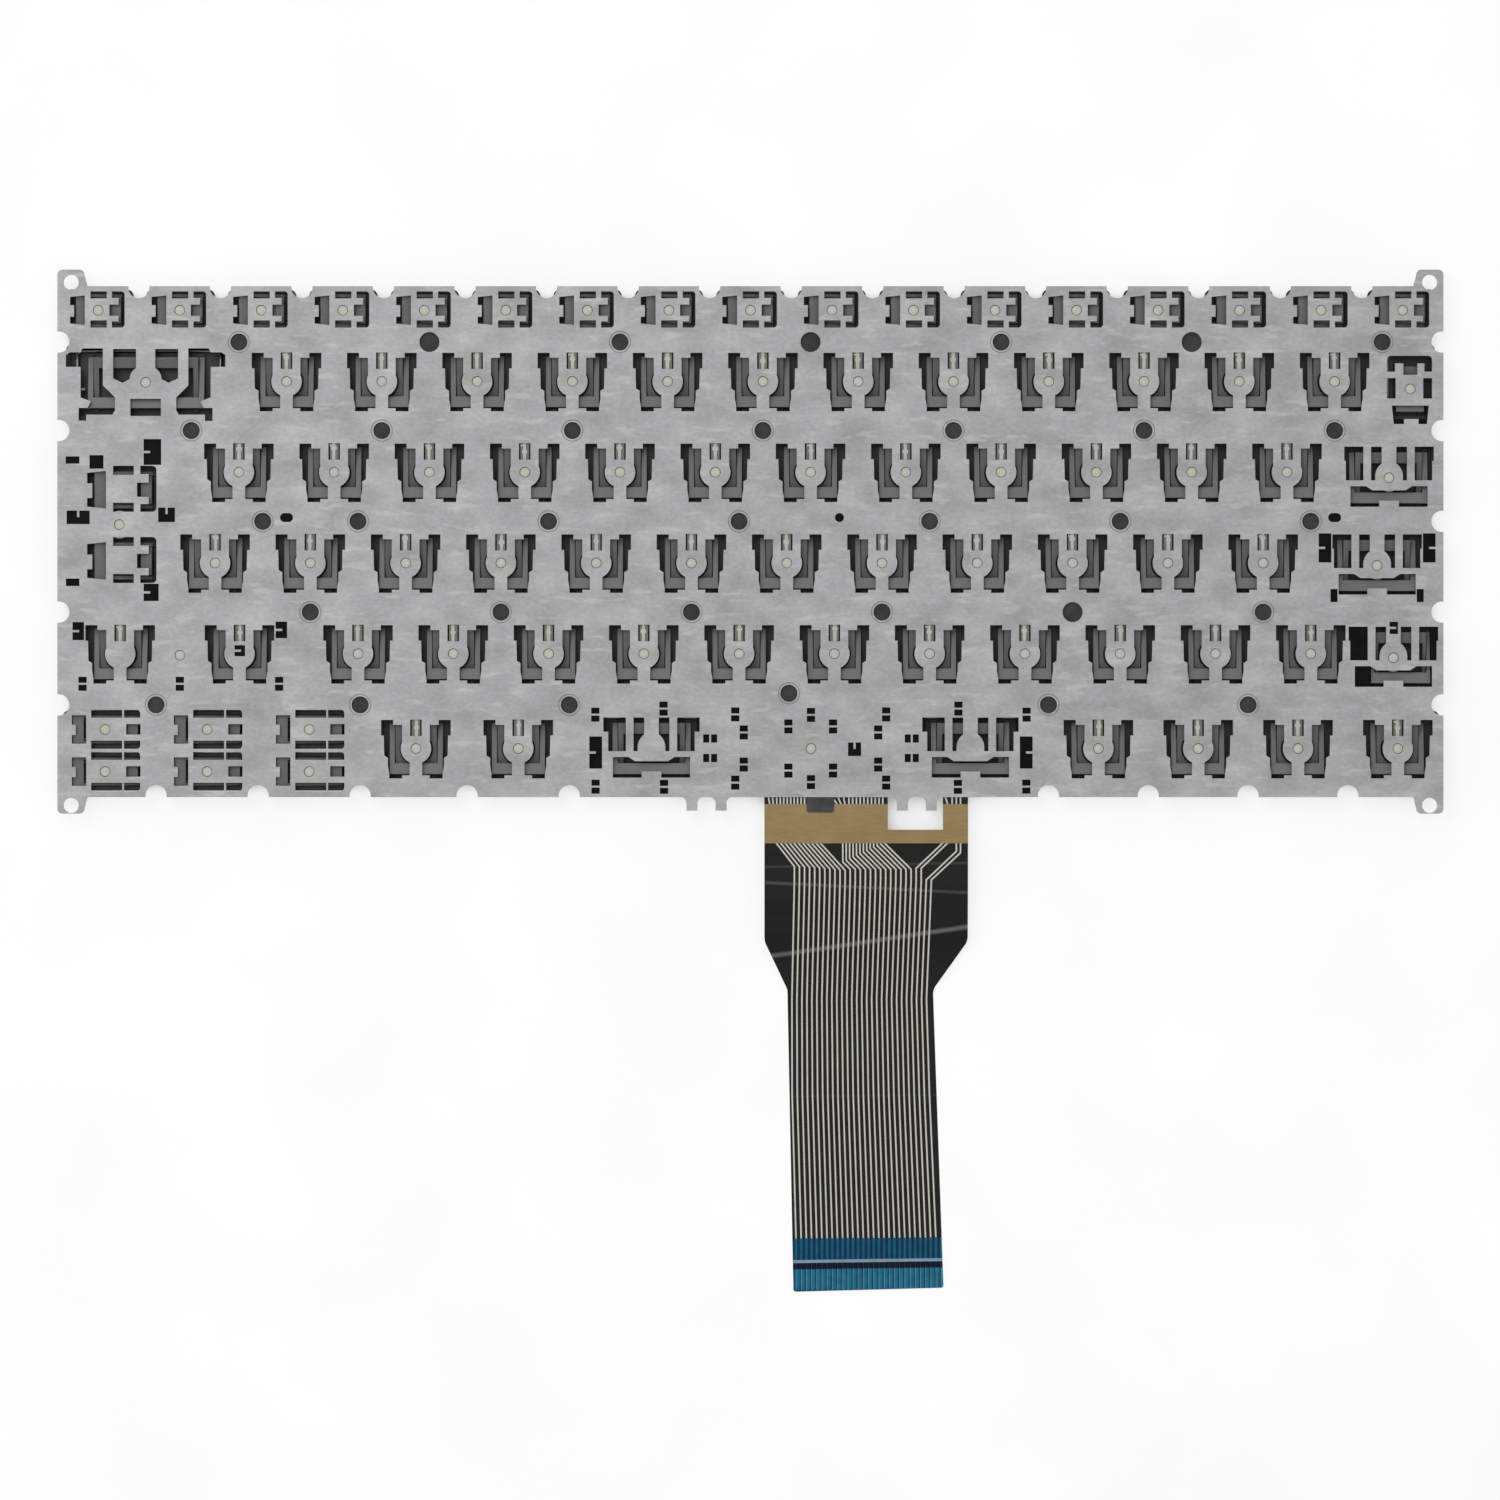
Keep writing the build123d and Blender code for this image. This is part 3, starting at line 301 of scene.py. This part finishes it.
def moulded(name, dark, light, roughness, grain_mm=0.5):
    """Moulded plastic or rubber: a fine grain from the mould, and slow changes of tone."""
    material, shader, place = new_material(name)
    grain = add_node(
        material, "ShaderNodeTexNoise", {"Vector": place, "Scale": 1 / (grain_mm * MM), "Detail": 4.0}
    )
    cloud = add_node(
        material, "ShaderNodeTexNoise", {"Vector": place, "Scale": 0.12 / (grain_mm * MM)}
    )
    fine = add_node(
        material, "ShaderNodeValToRGB", {"Fac": grain.outputs["Fac"]}, stops=[(0.3, dark), (0.7, light)]
    )
    slow = add_node(
        material, "ShaderNodeValToRGB", {"Fac": cloud.outputs["Fac"]}, stops=[(0.3, dark), (0.7, light)]
    )
    tone = add_node(
        material, "ShaderNodeMix", {0: 0.5, 6: fine.outputs["Color"], 7: slow.outputs["Color"]},
        data_type="RGBA",
    )
    rough = add_node(
        material, "ShaderNodeMapRange",
        {"Value": grain.outputs["Fac"], "To Min": roughness - 0.06, "To Max": roughness + 0.06},
    )
    return finish_surface(
        material, shader, grain.outputs["Fac"], 0.01,
        Base_Color=tone.outputs[2], Roughness=rough.outputs["Result"],
    )


outer_acetal = moulded("grey moulded acetal outer lever", "#5C5C5E", "#6A6A6C", 0.5)
inner_acetal = moulded("dark grey moulded acetal inner lever", "#505052", "#5E5E60", 0.5)
silicone = moulded("milky moulded silicone dome", "#B9B6AA", "#C9C6BA", 0.6)
dome_solids = loose_solids("rubber_domes")
lever_solids = [(solid, 0) for solid in loose_solids("scissor_outer_frames")]
lever_solids += [(solid, 1) for solid in loose_solids("scissor_inner_frames")]
dome_centres = [centre for points, faces, centre in dome_solids]
lever_widths = [
    (centre, max(point.x for point in points) - min(point.x for point in points))
    for (points, faces, centre), number in lever_solids
]


def key_mechanism(name, levers, domes):
    """Lever and dome pieces of one group, riding on the back."""
    made = []
    if levers:
        piece = mesh_piece(
            name + "_levers", [(points, faces, number) for (points, faces, centre), number in levers],
            [outer_acetal, inner_acetal], levers[0][0][2],
        )
        soften(piece, width_mm=0.06)
        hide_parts("scissor_outer_frames", "scissor_inner_frames")
        made.append(piece)
    if domes:
        piece = mesh_piece(
            name + "_dome", [(points, faces, 0) for points, faces, centre in domes], [silicone], domes[0][2]
        )
        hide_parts("rubber_domes")
        made.append(piece)
    for piece in made:
        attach(piece, "back")
    return made


def over(box, centre):
    """Whether a centre lies over a box, seen from above."""
    low, high = box
    return low.x < centre.x < high.x and low.y < centre.y < high.y


for joint in frame["joints"]:
    if joint["type"] != "slide":
        continue
    name = joint["name"].removesuffix("_press")
    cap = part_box(name + "_keycap")
    levers = [item for item in lever_solids if over(cap, item[0][2])]
    domes = [solid for solid in dome_solids if over(cap, solid[2])]
    lever_solids = [item for item in lever_solids if item not in levers]
    dome_solids = [solid for solid in dome_solids if solid not in domes]
    for piece in key_mechanism(name, levers, domes):
        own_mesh(piece)
key_mechanism("fixed_rows", lever_solids, dome_solids)

# Vent dots and matrix traces: dots of cream adhesive fill the vent hole behind each dome,
# and a strip of silver ink crosses the black film in each small window.


def ink_box(low, high):
    """Closed box between two corners in metres."""
    xs, ys, zs = zip(low, high)
    points = [(x, y, z) for z in zs for y in ys for x in xs]
    faces = [(0, 2, 3, 1), (4, 5, 7, 6), (0, 1, 5, 4), (2, 6, 7, 3), (0, 4, 6, 2), (1, 3, 7, 5)]
    return points, faces


def dot(centre, rings, sides=28):
    """Closed round dot from (radius, height) rings, in metres."""
    points = [
        (centre.x + radius * math.cos(math.tau * side / sides),
         centre.y + radius * math.sin(math.tau * side / sides), z)
        for radius, z in rings for side in range(sides)
    ]
    faces = [list(range(sides))[::-1], [(len(rings) - 1) * sides + side for side in range(sides)]]
    for ring in range(len(rings) - 1):
        for side in range(sides):
            first, second = ring * sides + side, ring * sides + (side + 1) % sides
            faces.append((first, second, second + sides, first + sides))
    return points, faces


cream = moulded("cream cured adhesive", "#B3B0A6", "#C1BEB4", 0.55, 0.4)
dot_radius, crown_radius = 0.95 * MM, 0.82 * MM
dot_side, dot_top = film_back_z + 0.1 * MM, film_back_z + 0.13 * MM
dot_rings = [(dot_radius, film_back_z), (dot_radius, dot_side), (crown_radius, dot_top)]
vent_dots = mesh_piece("vent_dots", [(*dot(centre, dot_rings), 0) for centre in dome_centres], [cream])
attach(vent_dots, "back")

silver_ink = moulded("screen printed silver ink", "#A4A29B", "#BCBAB3", 0.5, 0.3)
grey_ink = moulded("screen printed carbon ink", "#5C5B58", "#706F6B", 0.5, 0.6)
window_low, window_high = 2.48 * MM, 5.78 * MM
unit_lever_width, width_error = 10.6 * MM, 0.1 * MM
band_half, band_top = 0.85 * MM, film_back_z + 0.01 * MM
strip_top = film_back_z + 0.03 * MM
pad_top = film_back_z + 0.028 * MM
branch_top = film_back_z + 0.026 * MM
branch_reach, branch_low, branch_high, branch_share = 0.8 * MM, 0.6 * MM, 0.25 * MM, 0.3
picked = random.Random(4)
matrix_traces = []
for centre, width in lever_widths:
    if abs(width - unit_lever_width) > width_error:
        continue
    drift = picked.uniform(-0.12, 0.12) * MM
    half = picked.uniform(0.28, 0.36) * MM
    low, high = centre.y + window_low, centre.y + window_high
    middle = centre.x + drift
    band = ink_box((centre.x - band_half, low, film_back_z), (centre.x + band_half, high, band_top))
    strip = ink_box((middle - half, low, film_back_z), (middle + half, high, strip_top))
    pad_place = Vector((middle, high - picked.uniform(0.7, 1.7) * MM, 0))
    pad_radius = picked.uniform(0.48, 0.6) * MM
    pad = dot(pad_place, [(pad_radius, film_back_z), (pad_radius, pad_top)])
    matrix_traces += [(*band, 1), (*strip, 0), (*pad, 0)]
    if picked.random() < branch_share:
        branch = ink_box(
            (middle - branch_reach, high - branch_low, film_back_z), (middle, high - branch_high, branch_top)
        )
        matrix_traces.append((*branch, 0))
traces = mesh_piece("matrix_traces", matrix_traces, [silver_ink, grey_ink])
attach(traces, "back")

# Coined rings: the plate is pressed down in a shallow ring round each smaller stake hole,
# and a thin dark grey ring along the step is painted shade of its wall.


def coin_ring(centre, radii, low, high):
    """Closed flat ring between two radii and two heights, in metres."""
    sides = 40
    points = [
        (centre.x + radius * math.cos(math.tau * side / sides),
         centre.y + radius * math.sin(math.tau * side / sides), z)
        for radius, z in ((radii[0], low), (radii[1], low), (radii[1], high), (radii[0], high))
        for side in range(sides)
    ]
    faces = []
    for ring in range(4):
        for side in range(sides):
            here, after = side, (side + 1) % sides
            start, end = ring * sides, (ring + 1) % 4 * sides
            faces.append((start + here, end + here, end + after, start + after))
    return points, faces


coin_z, level_error, coin_spread = -0.08 * MM, 0.005 * MM, 6 * MM
# A thin dark grey ring of painted shade lies along each coined step.
edge_gap, shade_ring_width, shade_ring_top = 0.02 * MM, 0.14 * MM, coin_z + 0.03 * MM
coins = []
for vertex in frame["nodes"]["base_plate"].data.vertices:
    if abs(vertex.co.z - coin_z) < level_error:
        near = [coin for coin in coins if (coin[0] - vertex.co).xy.length < coin_spread]
        if near:
            near[0].append(vertex.co)
        else:
            coins.append([vertex.co])
step_lines = []
for coin in coins:
    low = Vector([min(point[axis] for point in coin) for axis in range(3)])
    high = Vector([max(point[axis] for point in coin) for axis in range(3)])
    edge = (high.x - low.x) / 2 - edge_gap
    ring = coin_ring((low + high) / 2, (edge - shade_ring_width, edge), coin_z, shade_ring_top)
    step_lines.append((*ring, 0))
# The ring's dark grey is painted shade of the step's wall.
step_shade = moulded("painted shade along the coined step", "#6A6A6B", "#7C7C7D", 0.6, 0.4)
coined_steps = mesh_piece("coined_steps", step_lines, [step_shade])
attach(coined_steps, "back")

# Keycaps: hollow caps moulded in black plastic, with a finely grained top. Drawn steel
# wires keep the long ones level.

black_cap = moulded("black grained moulded plastic", "#0B0B0C", "#141415", 0.48, 0.25)
paint(black_cap, *[name for name in frame["nodes"] if "keycap" in name])


def drawn_wire():
    """Drawn spring steel, darkened as painted shade of its deep place under the keys: fine lines along the
    wire.
    """
    material, shader, place = new_material("drawn spring steel darkened as painted shade")
    lines = add_node(
        material, "ShaderNodeTexNoise", {"Vector": place, "Scale": 1 / (0.3 * MM), "Detail": 3.0}
    )
    # The dark grey tones are painted shade for wires lying deep under the keys.
    tone = add_node(
        material, "ShaderNodeValToRGB", {"Fac": lines.outputs["Fac"]},
        stops=[(0.3, "#5A5A5A"), (0.7, "#747473")],
    )
    rough = add_node(
        material, "ShaderNodeMapRange", {"Value": lines.outputs["Fac"], "To Min": 0.22, "To Max": 0.38}
    )
    return finish_surface(
        material, shader, lines.outputs["Fac"], 0.005,
        Base_Color=tone.outputs["Color"], Roughness=rough.outputs["Result"], Metallic=1.0,
    )


paint(drawn_wire(), *[name for name in frame["nodes"] if name.endswith("_wire")])

# Ribbon cable: the tail of the back film, black overprint on clear polyester with 28
# silver ink traces. It was folded in its packing, so shallow creases cross it, with
# painted highlights along them.


def overprinted_film():
    """Glossy black overprint: nearly even, with shallow slanting creases bumped in and lightened by painted
    highlights.
    """
    material, shader, place = new_material("glossy black overprinted polyester")
    across = add_node(
        material, "ShaderNodeMapping", {"Vector": place, "Scale": (0.06, 1, 1)}
    ).outputs[0]
    ripple = add_node(
        material, "ShaderNodeTexNoise", {"Vector": across, "Scale": 1 / (5 * MM), "Detail": 2.0}
    )
    ink = add_node(
        material, "ShaderNodeValToRGB", {"Fac": ripple.outputs["Fac"]},
        stops=[(0.35, "#0B0B0A"), (0.7, "#151413")],
    )
    colour = ink.outputs["Color"]
    heights = ripple.outputs["Fac"]
    # Each crease: slope, level, half width, and the light grey of its painted highlight.
    creases_with_painted_highlights = (
        (0.15, -82.9, 0.75, "#8E8C8A"), (-0.05, -67.4, 0.5, "#555452"),
        (0.02, -64.5, 0.4, "#4A4947"), (0.01, -110.5, 0.4, "#343332"),
    )
    for slope, level_mm, half_mm, shade in creases_with_painted_highlights:
        lean = add_node(
            material, "ShaderNodeVectorMath", {0: place, 1: (-slope, 1.0, 0.0)}, operation="DOT_PRODUCT"
        )
        away = add_node(
            material, "ShaderNodeMath",
            {0: lean.outputs["Value"], 1: level_mm * MM}, operation="SUBTRACT",
        )
        off = add_node(material, "ShaderNodeMath", {0: away.outputs[0]}, operation="ABSOLUTE")
        fold = add_node(
            material, "ShaderNodeMapRange",
            {"Value": off.outputs[0], "From Min": 0.0, "From Max": half_mm * MM,
             "To Min": 1.0, "To Max": 0.0},
            interpolation_type="SMOOTHSTEP",
        )
        broken = add_node(
            material, "ShaderNodeMath",
            {0: fold.outputs["Result"], 1: ripple.outputs["Fac"]}, operation="MULTIPLY",
        )
        # The crease colour mixed in here is a painted highlight over the black ink.
        colour = add_node(
            material, "ShaderNodeMix", {0: broken.outputs[0], 6: colour, 7: linear(shade)}, data_type="RGBA"
        ).outputs[2]
        heights = add_node(
            material, "ShaderNodeMath", {0: heights, 1: broken.outputs[0]}, operation="ADD"
        ).outputs[0]
    return finish_surface(
        material, shader, heights, 0.03, Base_Color=colour, Roughness=0.42, Specular_IOR_Level=0.22
    )


cable = frame["nodes"]["ribbon_cable"]
paint(overprinted_film(), "ribbon_cable")
cable_tree = BVHTree.FromPolygons(
    [vertex.co for vertex in cable.data.vertices], [list(face.vertices) for face in cable.data.polygons]
)
trace_width = 0.3
trace_rise = 0.02
trace_sink = 0.01
trace_step = 1.2
widest_mitre = 0.6
ray_start_z = 0.01


def cable_top(x, y):
    """Height of the cable's back face in metres, at a place in millimetres."""
    return cable_tree.ray_cast(Vector((x * MM, y * MM, ray_start_z)), Vector((0, 0, -1)))[0].z


def printed_strip(path):
    """Closed flat strip along a path in millimetres, lying on the cable."""
    stations = [Vector(path[0])]
    for start, end in zip(path, path[1:]):
        run = Vector(end) - Vector(start)
        count = max(1, math.ceil(run.length / trace_step))
        stations += [Vector(start) + run * (step + 1) / count for step in range(count)]
    points = []
    for index, here in enumerate(stations):
        before = (here - stations[max(index - 1, 0)]).normalized()
        after = (stations[min(index + 1, len(stations) - 1)] - here).normalized()
        way = (before + after).normalized()
        side = Vector((-way.y, way.x))
        square = after if index == 0 else before
        reach = trace_width / 2 / max(widest_mitre, abs(side.dot(Vector((-square.y, square.x)))))
        z = cable_top(here.x, here.y)
        for sign, rise in ((1, -trace_sink), (1, trace_rise), (-1, trace_rise), (-1, -trace_sink)):
            edge = here + side * reach * sign
            points.append((edge.x * MM, edge.y * MM, z + rise * MM))
    faces = [(0, 1, 2, 3), tuple(len(points) - corner for corner in (1, 2, 3, 4))]
    for index in range(len(stations) - 1):
        for corner in range(4):
            first, second = index * 4 + corner, index * 4 + (corner + 1) % 4
            faces.append((first, first + 4, second + 4, second))
    return points, faces


trace_count = 28
plate_edge_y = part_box("ribbon_cable")[1].y / MM
tape_low, tape_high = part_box("cable_tape")
stiffener_top_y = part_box("cable_stiffener")[1].y / MM
plate_gap = 0.02
under_tape = 0.2
under_stiffener = 0.3
tape_end_y = tape_low.y / MM + under_tape
tail_rows = (
    (8.77, 1.012, -67.3), (8.3, 0.9963, -91), (8.35, 1.0167, -110),
    (9.12, 1.036, stiffener_top_y - under_stiffener),
)
cable_paths = []
for number in range(trace_count):
    straight = [(first + pitch * number, y) for first, pitch, y in tail_rows]
    target = straight[0][0]
    if number < 11:
        bend_y = -64.3 - 0.08 * number
        fan = [(5.04 + 0.876 * number, tape_end_y), (target, bend_y)]
    elif number < 24:
        start = 18.43 + 0.683 * (number - 11)
        bend_y = -64.9
        slant_y = min(bend_y + (target - start), tape_end_y - 0.05)
        fan = [(start, tape_end_y), (start, slant_y), (target, bend_y)]
    elif number < 26:
        fan = [(38.53 + 0.97 * (number - 24), tape_end_y), (target, -64.7)]
    else:
        start = 41.08 + 0.82 * (number - 26)
        fan = [(start, tape_end_y), (start, -61.3 - 0.3 * (number - 26)), (target, -67.0)]
    cable_paths.append(fan + straight)
root_groups = ((3.9, 10.8, 11, 0.3), (17.4, 26.4, 13, 1.0), (39.4, 41.9, 4, 0.5))
for first, last, count, slant in root_groups:
    for index in range(count):
        x = first + (last - first) * index / (count - 1)
        bent = slant * max(0, 1 - 4 * index / (count - 1))
        cable_paths.append([(x - bent, plate_edge_y - plate_gap), (x, tape_high.y / MM - under_tape)])
cable_ink = moulded("screen printed silver cable ink", "#BAB6AE", "#CCC8C0", 0.45, 0.3)
cable_traces = mesh_piece("cable_traces", [(*printed_strip(path), 0) for path in cable_paths], [cable_ink])
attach(cable_traces, "back")

# Tape: a strip of tan adhesive tape across the cable's root, with a dark grey patch
# over it at the plate's edge.


def tan_tape():
    """Tan crepe tape: matt, with fine fibres along its length."""
    material, shader, place = new_material("tan paper tape")
    along = add_node(
        material, "ShaderNodeMapping", {"Vector": place, "Scale": (0.12, 1, 1)}
    ).outputs[0]
    fibres = add_node(
        material, "ShaderNodeTexNoise", {"Vector": along, "Scale": 1 / (0.35 * MM), "Detail": 4.0}
    )
    blots = add_node(
        material, "ShaderNodeTexNoise", {"Vector": place, "Scale": 1 / (6 * MM), "Detail": 3.0}
    )
    paper = add_node(
        material, "ShaderNodeValToRGB", {"Fac": fibres.outputs["Fac"]},
        stops=[(0.3, "#816940"), (0.7, "#957D54")],
    )
    worn = add_node(
        material, "ShaderNodeValToRGB", {"Fac": blots.outputs["Fac"]},
        stops=[(0.3, "#836B40"), (0.7, "#967F58")],
    )
    colour = add_node(
        material, "ShaderNodeMix", {0: 0.5, 6: paper.outputs["Color"], 7: worn.outputs["Color"]},
        data_type="RGBA",
    )
    return finish_surface(
        material, shader, fibres.outputs["Fac"], 0.01, Base_Color=colour.outputs[2], Roughness=0.62
    )


paint(tan_tape(), "cable_tape")
patch_left, patch_right, patch_bottom = 11.2 * MM, 16.7 * MM, -53.6 * MM
patch_top = plate_edge_y * MM - plate_gap * MM
patch_round, corner_steps = 0.5 * MM, 4
patch_points = [(patch_right, patch_top), (patch_left, patch_top)]
for centre_x, start in ((patch_left + patch_round, 180), (patch_right - patch_round, 270)):
    for step in range(corner_steps + 1):
        angle = math.radians(start + 90 / corner_steps * step)
        patch_points.append(
            (centre_x + patch_round * math.cos(angle), patch_bottom + patch_round * (1 + math.sin(angle)))
        )
patch_count = len(patch_points)
patch_rise = 0.03 * MM
patch_levels = (tape_low.z, tape_high.z + patch_rise)
patch_shape = [(x, y, z) for z in patch_levels for x, y in patch_points]
patch_faces = [list(range(patch_count))[::-1], list(range(patch_count, 2 * patch_count))]
for index in range(patch_count):
    following = (index + 1) % patch_count
    patch_faces.append((index, following, following + patch_count, index + patch_count))
# A dark grey mottled patch lies over the tape at the plate's edge.
grey_patch = printed_film("dark grey patch at the plate's edge", "#38383A", "#4C4C50", 0.45)
patch = mesh_piece("tape_patch", [(patch_shape, patch_faces, 0)], [grey_patch])
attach(patch, "back")

# Stiffener: blue polyester glued behind the contact end, so that the tail can be pushed
# into its socket. The traces show through it as stripes, with a pale line across.


def blue_stiffener():
    """Blue polyester: the traces show through, with a pale line and a dark band across."""
    material, shader, place = new_material("blue polyester stiffener")
    tilt, trace_pitch, first_trace = 0.0135, 1.036, 9.12
    glued_y, end_y = -138.7, -149.2
    axes = add_node(material, "ShaderNodeSeparateXYZ", {"Vector": place})
    level = add_node(
        material, "ShaderNodeVectorMath", {0: place, 1: (-tilt, 1.0, 0.0)}, operation="DOT_PRODUCT"
    )
    down = add_node(
        material, "ShaderNodeMapRange",
        {"Value": level.outputs["Value"], "From Min": glued_y * MM, "From Max": end_y * MM},
    ).outputs["Result"]
    start = first_trace - trace_pitch / 2
    counted = add_node(
        material, "ShaderNodeMapRange",
        {"Value": axes.outputs["X"], "From Min": start * MM, "From Max": (start + trace_pitch) * MM},
        clamp=False,
    )
    share = add_node(
        material, "ShaderNodeMath", {0: counted.outputs["Result"]}, operation="FRACT"
    ).outputs[0]
    glued = add_node(
        material, "ShaderNodeValToRGB", {"Fac": share},
        stops=[(0.15, "#0C304A"), (0.38, "#125878"), (0.62, "#145C7C"), (0.85, "#0C2E48")],
    )
    contacts = add_node(
        material, "ShaderNodeValToRGB", {"Fac": share},
        stops=[(0.08, "#176E8C"), (0.3, "#0C3854"), (0.43, "#0E3250"), (0.5, "#86A8B2"), (0.57, "#176C8A")],
    )
    gaps = add_node(
        material, "ShaderNodeValToRGB", {"Fac": share},
        stops=[(0.35, "#0E1228"), (0.5, "#1C2C4A"), (0.65, "#0E1228")],
    )
    colour = glued.outputs["Color"]
    pale_line = linear("#7F95A9")
    bands = (
        (0.803, 0.197, contacts.outputs["Color"]), (0.546, 0.06, gaps.outputs["Color"]),
        (0.457, 0.029, pale_line),
    )
    for middle, half, shade in bands:
        inside = add_node(
            material, "ShaderNodeMath", {0: down, 1: middle, 2: half}, operation="COMPARE"
        )
        colour = add_node(
            material, "ShaderNodeMix", {0: inside.outputs[0], 6: colour, 7: shade}, data_type="RGBA"
        ).outputs[2]
    wander = add_node(
        material, "ShaderNodeTexNoise", {"Vector": place, "Scale": 1 / (1.5 * MM), "Detail": 3.0}
    )
    patchy = add_node(
        material, "ShaderNodeValToRGB", {"Fac": wander.outputs["Fac"]},
        stops=[(0.3, "#B4B4B4"), (0.65, "#FFFFFF")],
    )
    colour = add_node(
        material, "ShaderNodeMix", {0: 0.4, 6: colour, 7: patchy.outputs["Color"]},
        data_type="RGBA", blend_type="MULTIPLY",
    )
    return finish_surface(
        material, shader, share, 0.01, Base_Color=colour.outputs[2], Roughness=0.35, Specular_IOR_Level=0.1
    )


paint(blue_stiffener(), "cable_stiffener")

# Studio: a white paper sweep under the keyboard, a soft sky and one large softbox. The
# camera looks straight down on the back.


def white_paper():
    """White studio paper: matt, with the faintest unevenness."""
    material, shader, place = new_material("white studio paper")
    tooth = add_node(material, "ShaderNodeTexNoise", {"Vector": place, "Scale": 1 / (40 * MM)})
    tone = add_node(
        material, "ShaderNodeValToRGB", {"Fac": tooth.outputs["Fac"]},
        stops=[(0.3, "#FCFCFC"), (0.7, "#FFFFFF")],
    )
    finish_surface(material, shader, Base_Color=tone.outputs["Color"], Roughness=0.9)
    rays = add_node(material, "ShaderNodeLightPath").outputs
    seen = add_node(
        material, "ShaderNodeMath", {0: rays["Is Camera Ray"], 1: rays["Is Glossy Ray"]}, operation="ADD"
    )
    seen = add_node(
        material, "ShaderNodeMath", {0: seen.outputs[0], 1: rays["Is Transmission Ray"]}, operation="ADD"
    )
    open_floor = add_node(material, "ShaderNodeAmbientOcclusion", {"Distance": 12 * MM}, samples=8)
    bright = add_node(
        material, "ShaderNodeMapRange",
        {"Value": open_floor.outputs["AO"], "From Min": 0.08, "From Max": 0.5, "To Min": 0.0, "To Max": 0.8},
    )
    share = add_node(
        material, "ShaderNodeMath", {0: seen.outputs[0], 1: bright.outputs["Result"]}, operation="MULTIPLY"
    )
    glow = add_node(
        material, "ShaderNodeEmission", {"Color": tone.outputs["Color"], "Strength": 1.0}
    )
    lit = add_node(
        material, "ShaderNodeMixShader", {0: share.outputs[0], 1: shader.outputs["BSDF"], 2: glow.outputs[0]}
    )
    output = material.node_tree.nodes["Material Output"]
    material.node_tree.links.new(lit.outputs[0], output.inputs["Surface"])
    return material


floor_mesh = bpy.data.meshes.new("studio_floor")
floor_z = cad_box[0][2]
floor_half = 1.5
floor_mesh.from_pydata(
    [(-floor_half, -floor_half, floor_z), (floor_half, -floor_half, floor_z),
     (floor_half, floor_half, floor_z), (-floor_half, floor_half, floor_z)], [], [(0, 1, 2, 3)],
)
floor_mesh.materials.append(white_paper())
floor = bpy.data.objects.new("studio_floor", floor_mesh)
bpy.context.collection.objects.link(floor)

world = bpy.data.worlds.new("soft white sky")
world.use_nodes = True
sky = world.node_tree.nodes["Background"]
sky.inputs["Color"].default_value = (1, 1, 1, 1)
sky.inputs["Strength"].default_value = 0.72
bpy.context.scene.world = world

middle = Vector((-0.08 * MM, -41.1 * MM, 0))
softbox = bpy.data.lights.new("softbox", "AREA")
softbox.shape = "SQUARE"
softbox.size = 0.9
softbox.energy = 7.5
softbox_holder = bpy.data.objects.new("softbox", softbox)
softbox_holder.location = middle + Vector((-0.5, 0.6, 1.2))
softbox_holder.rotation_euler = (middle - softbox_holder.location).to_track_quat("-Z", "Y").to_euler()
bpy.context.collection.objects.link(softbox_holder)

camera_height = 1.5
frame_width = 299.1 * MM
lens = bpy.data.cameras.new("camera")
lens.sensor_fit = "HORIZONTAL"
lens.sensor_width = 36
lens.lens = lens.sensor_width * camera_height / frame_width
lens.clip_end = 10
camera = bpy.data.objects.new("camera", lens)
camera.location = middle + Vector((0, 0, camera_height))
bpy.context.collection.objects.link(camera)
bpy.context.scene.camera = camera
bpy.context.scene.view_settings.view_transform = "Standard"
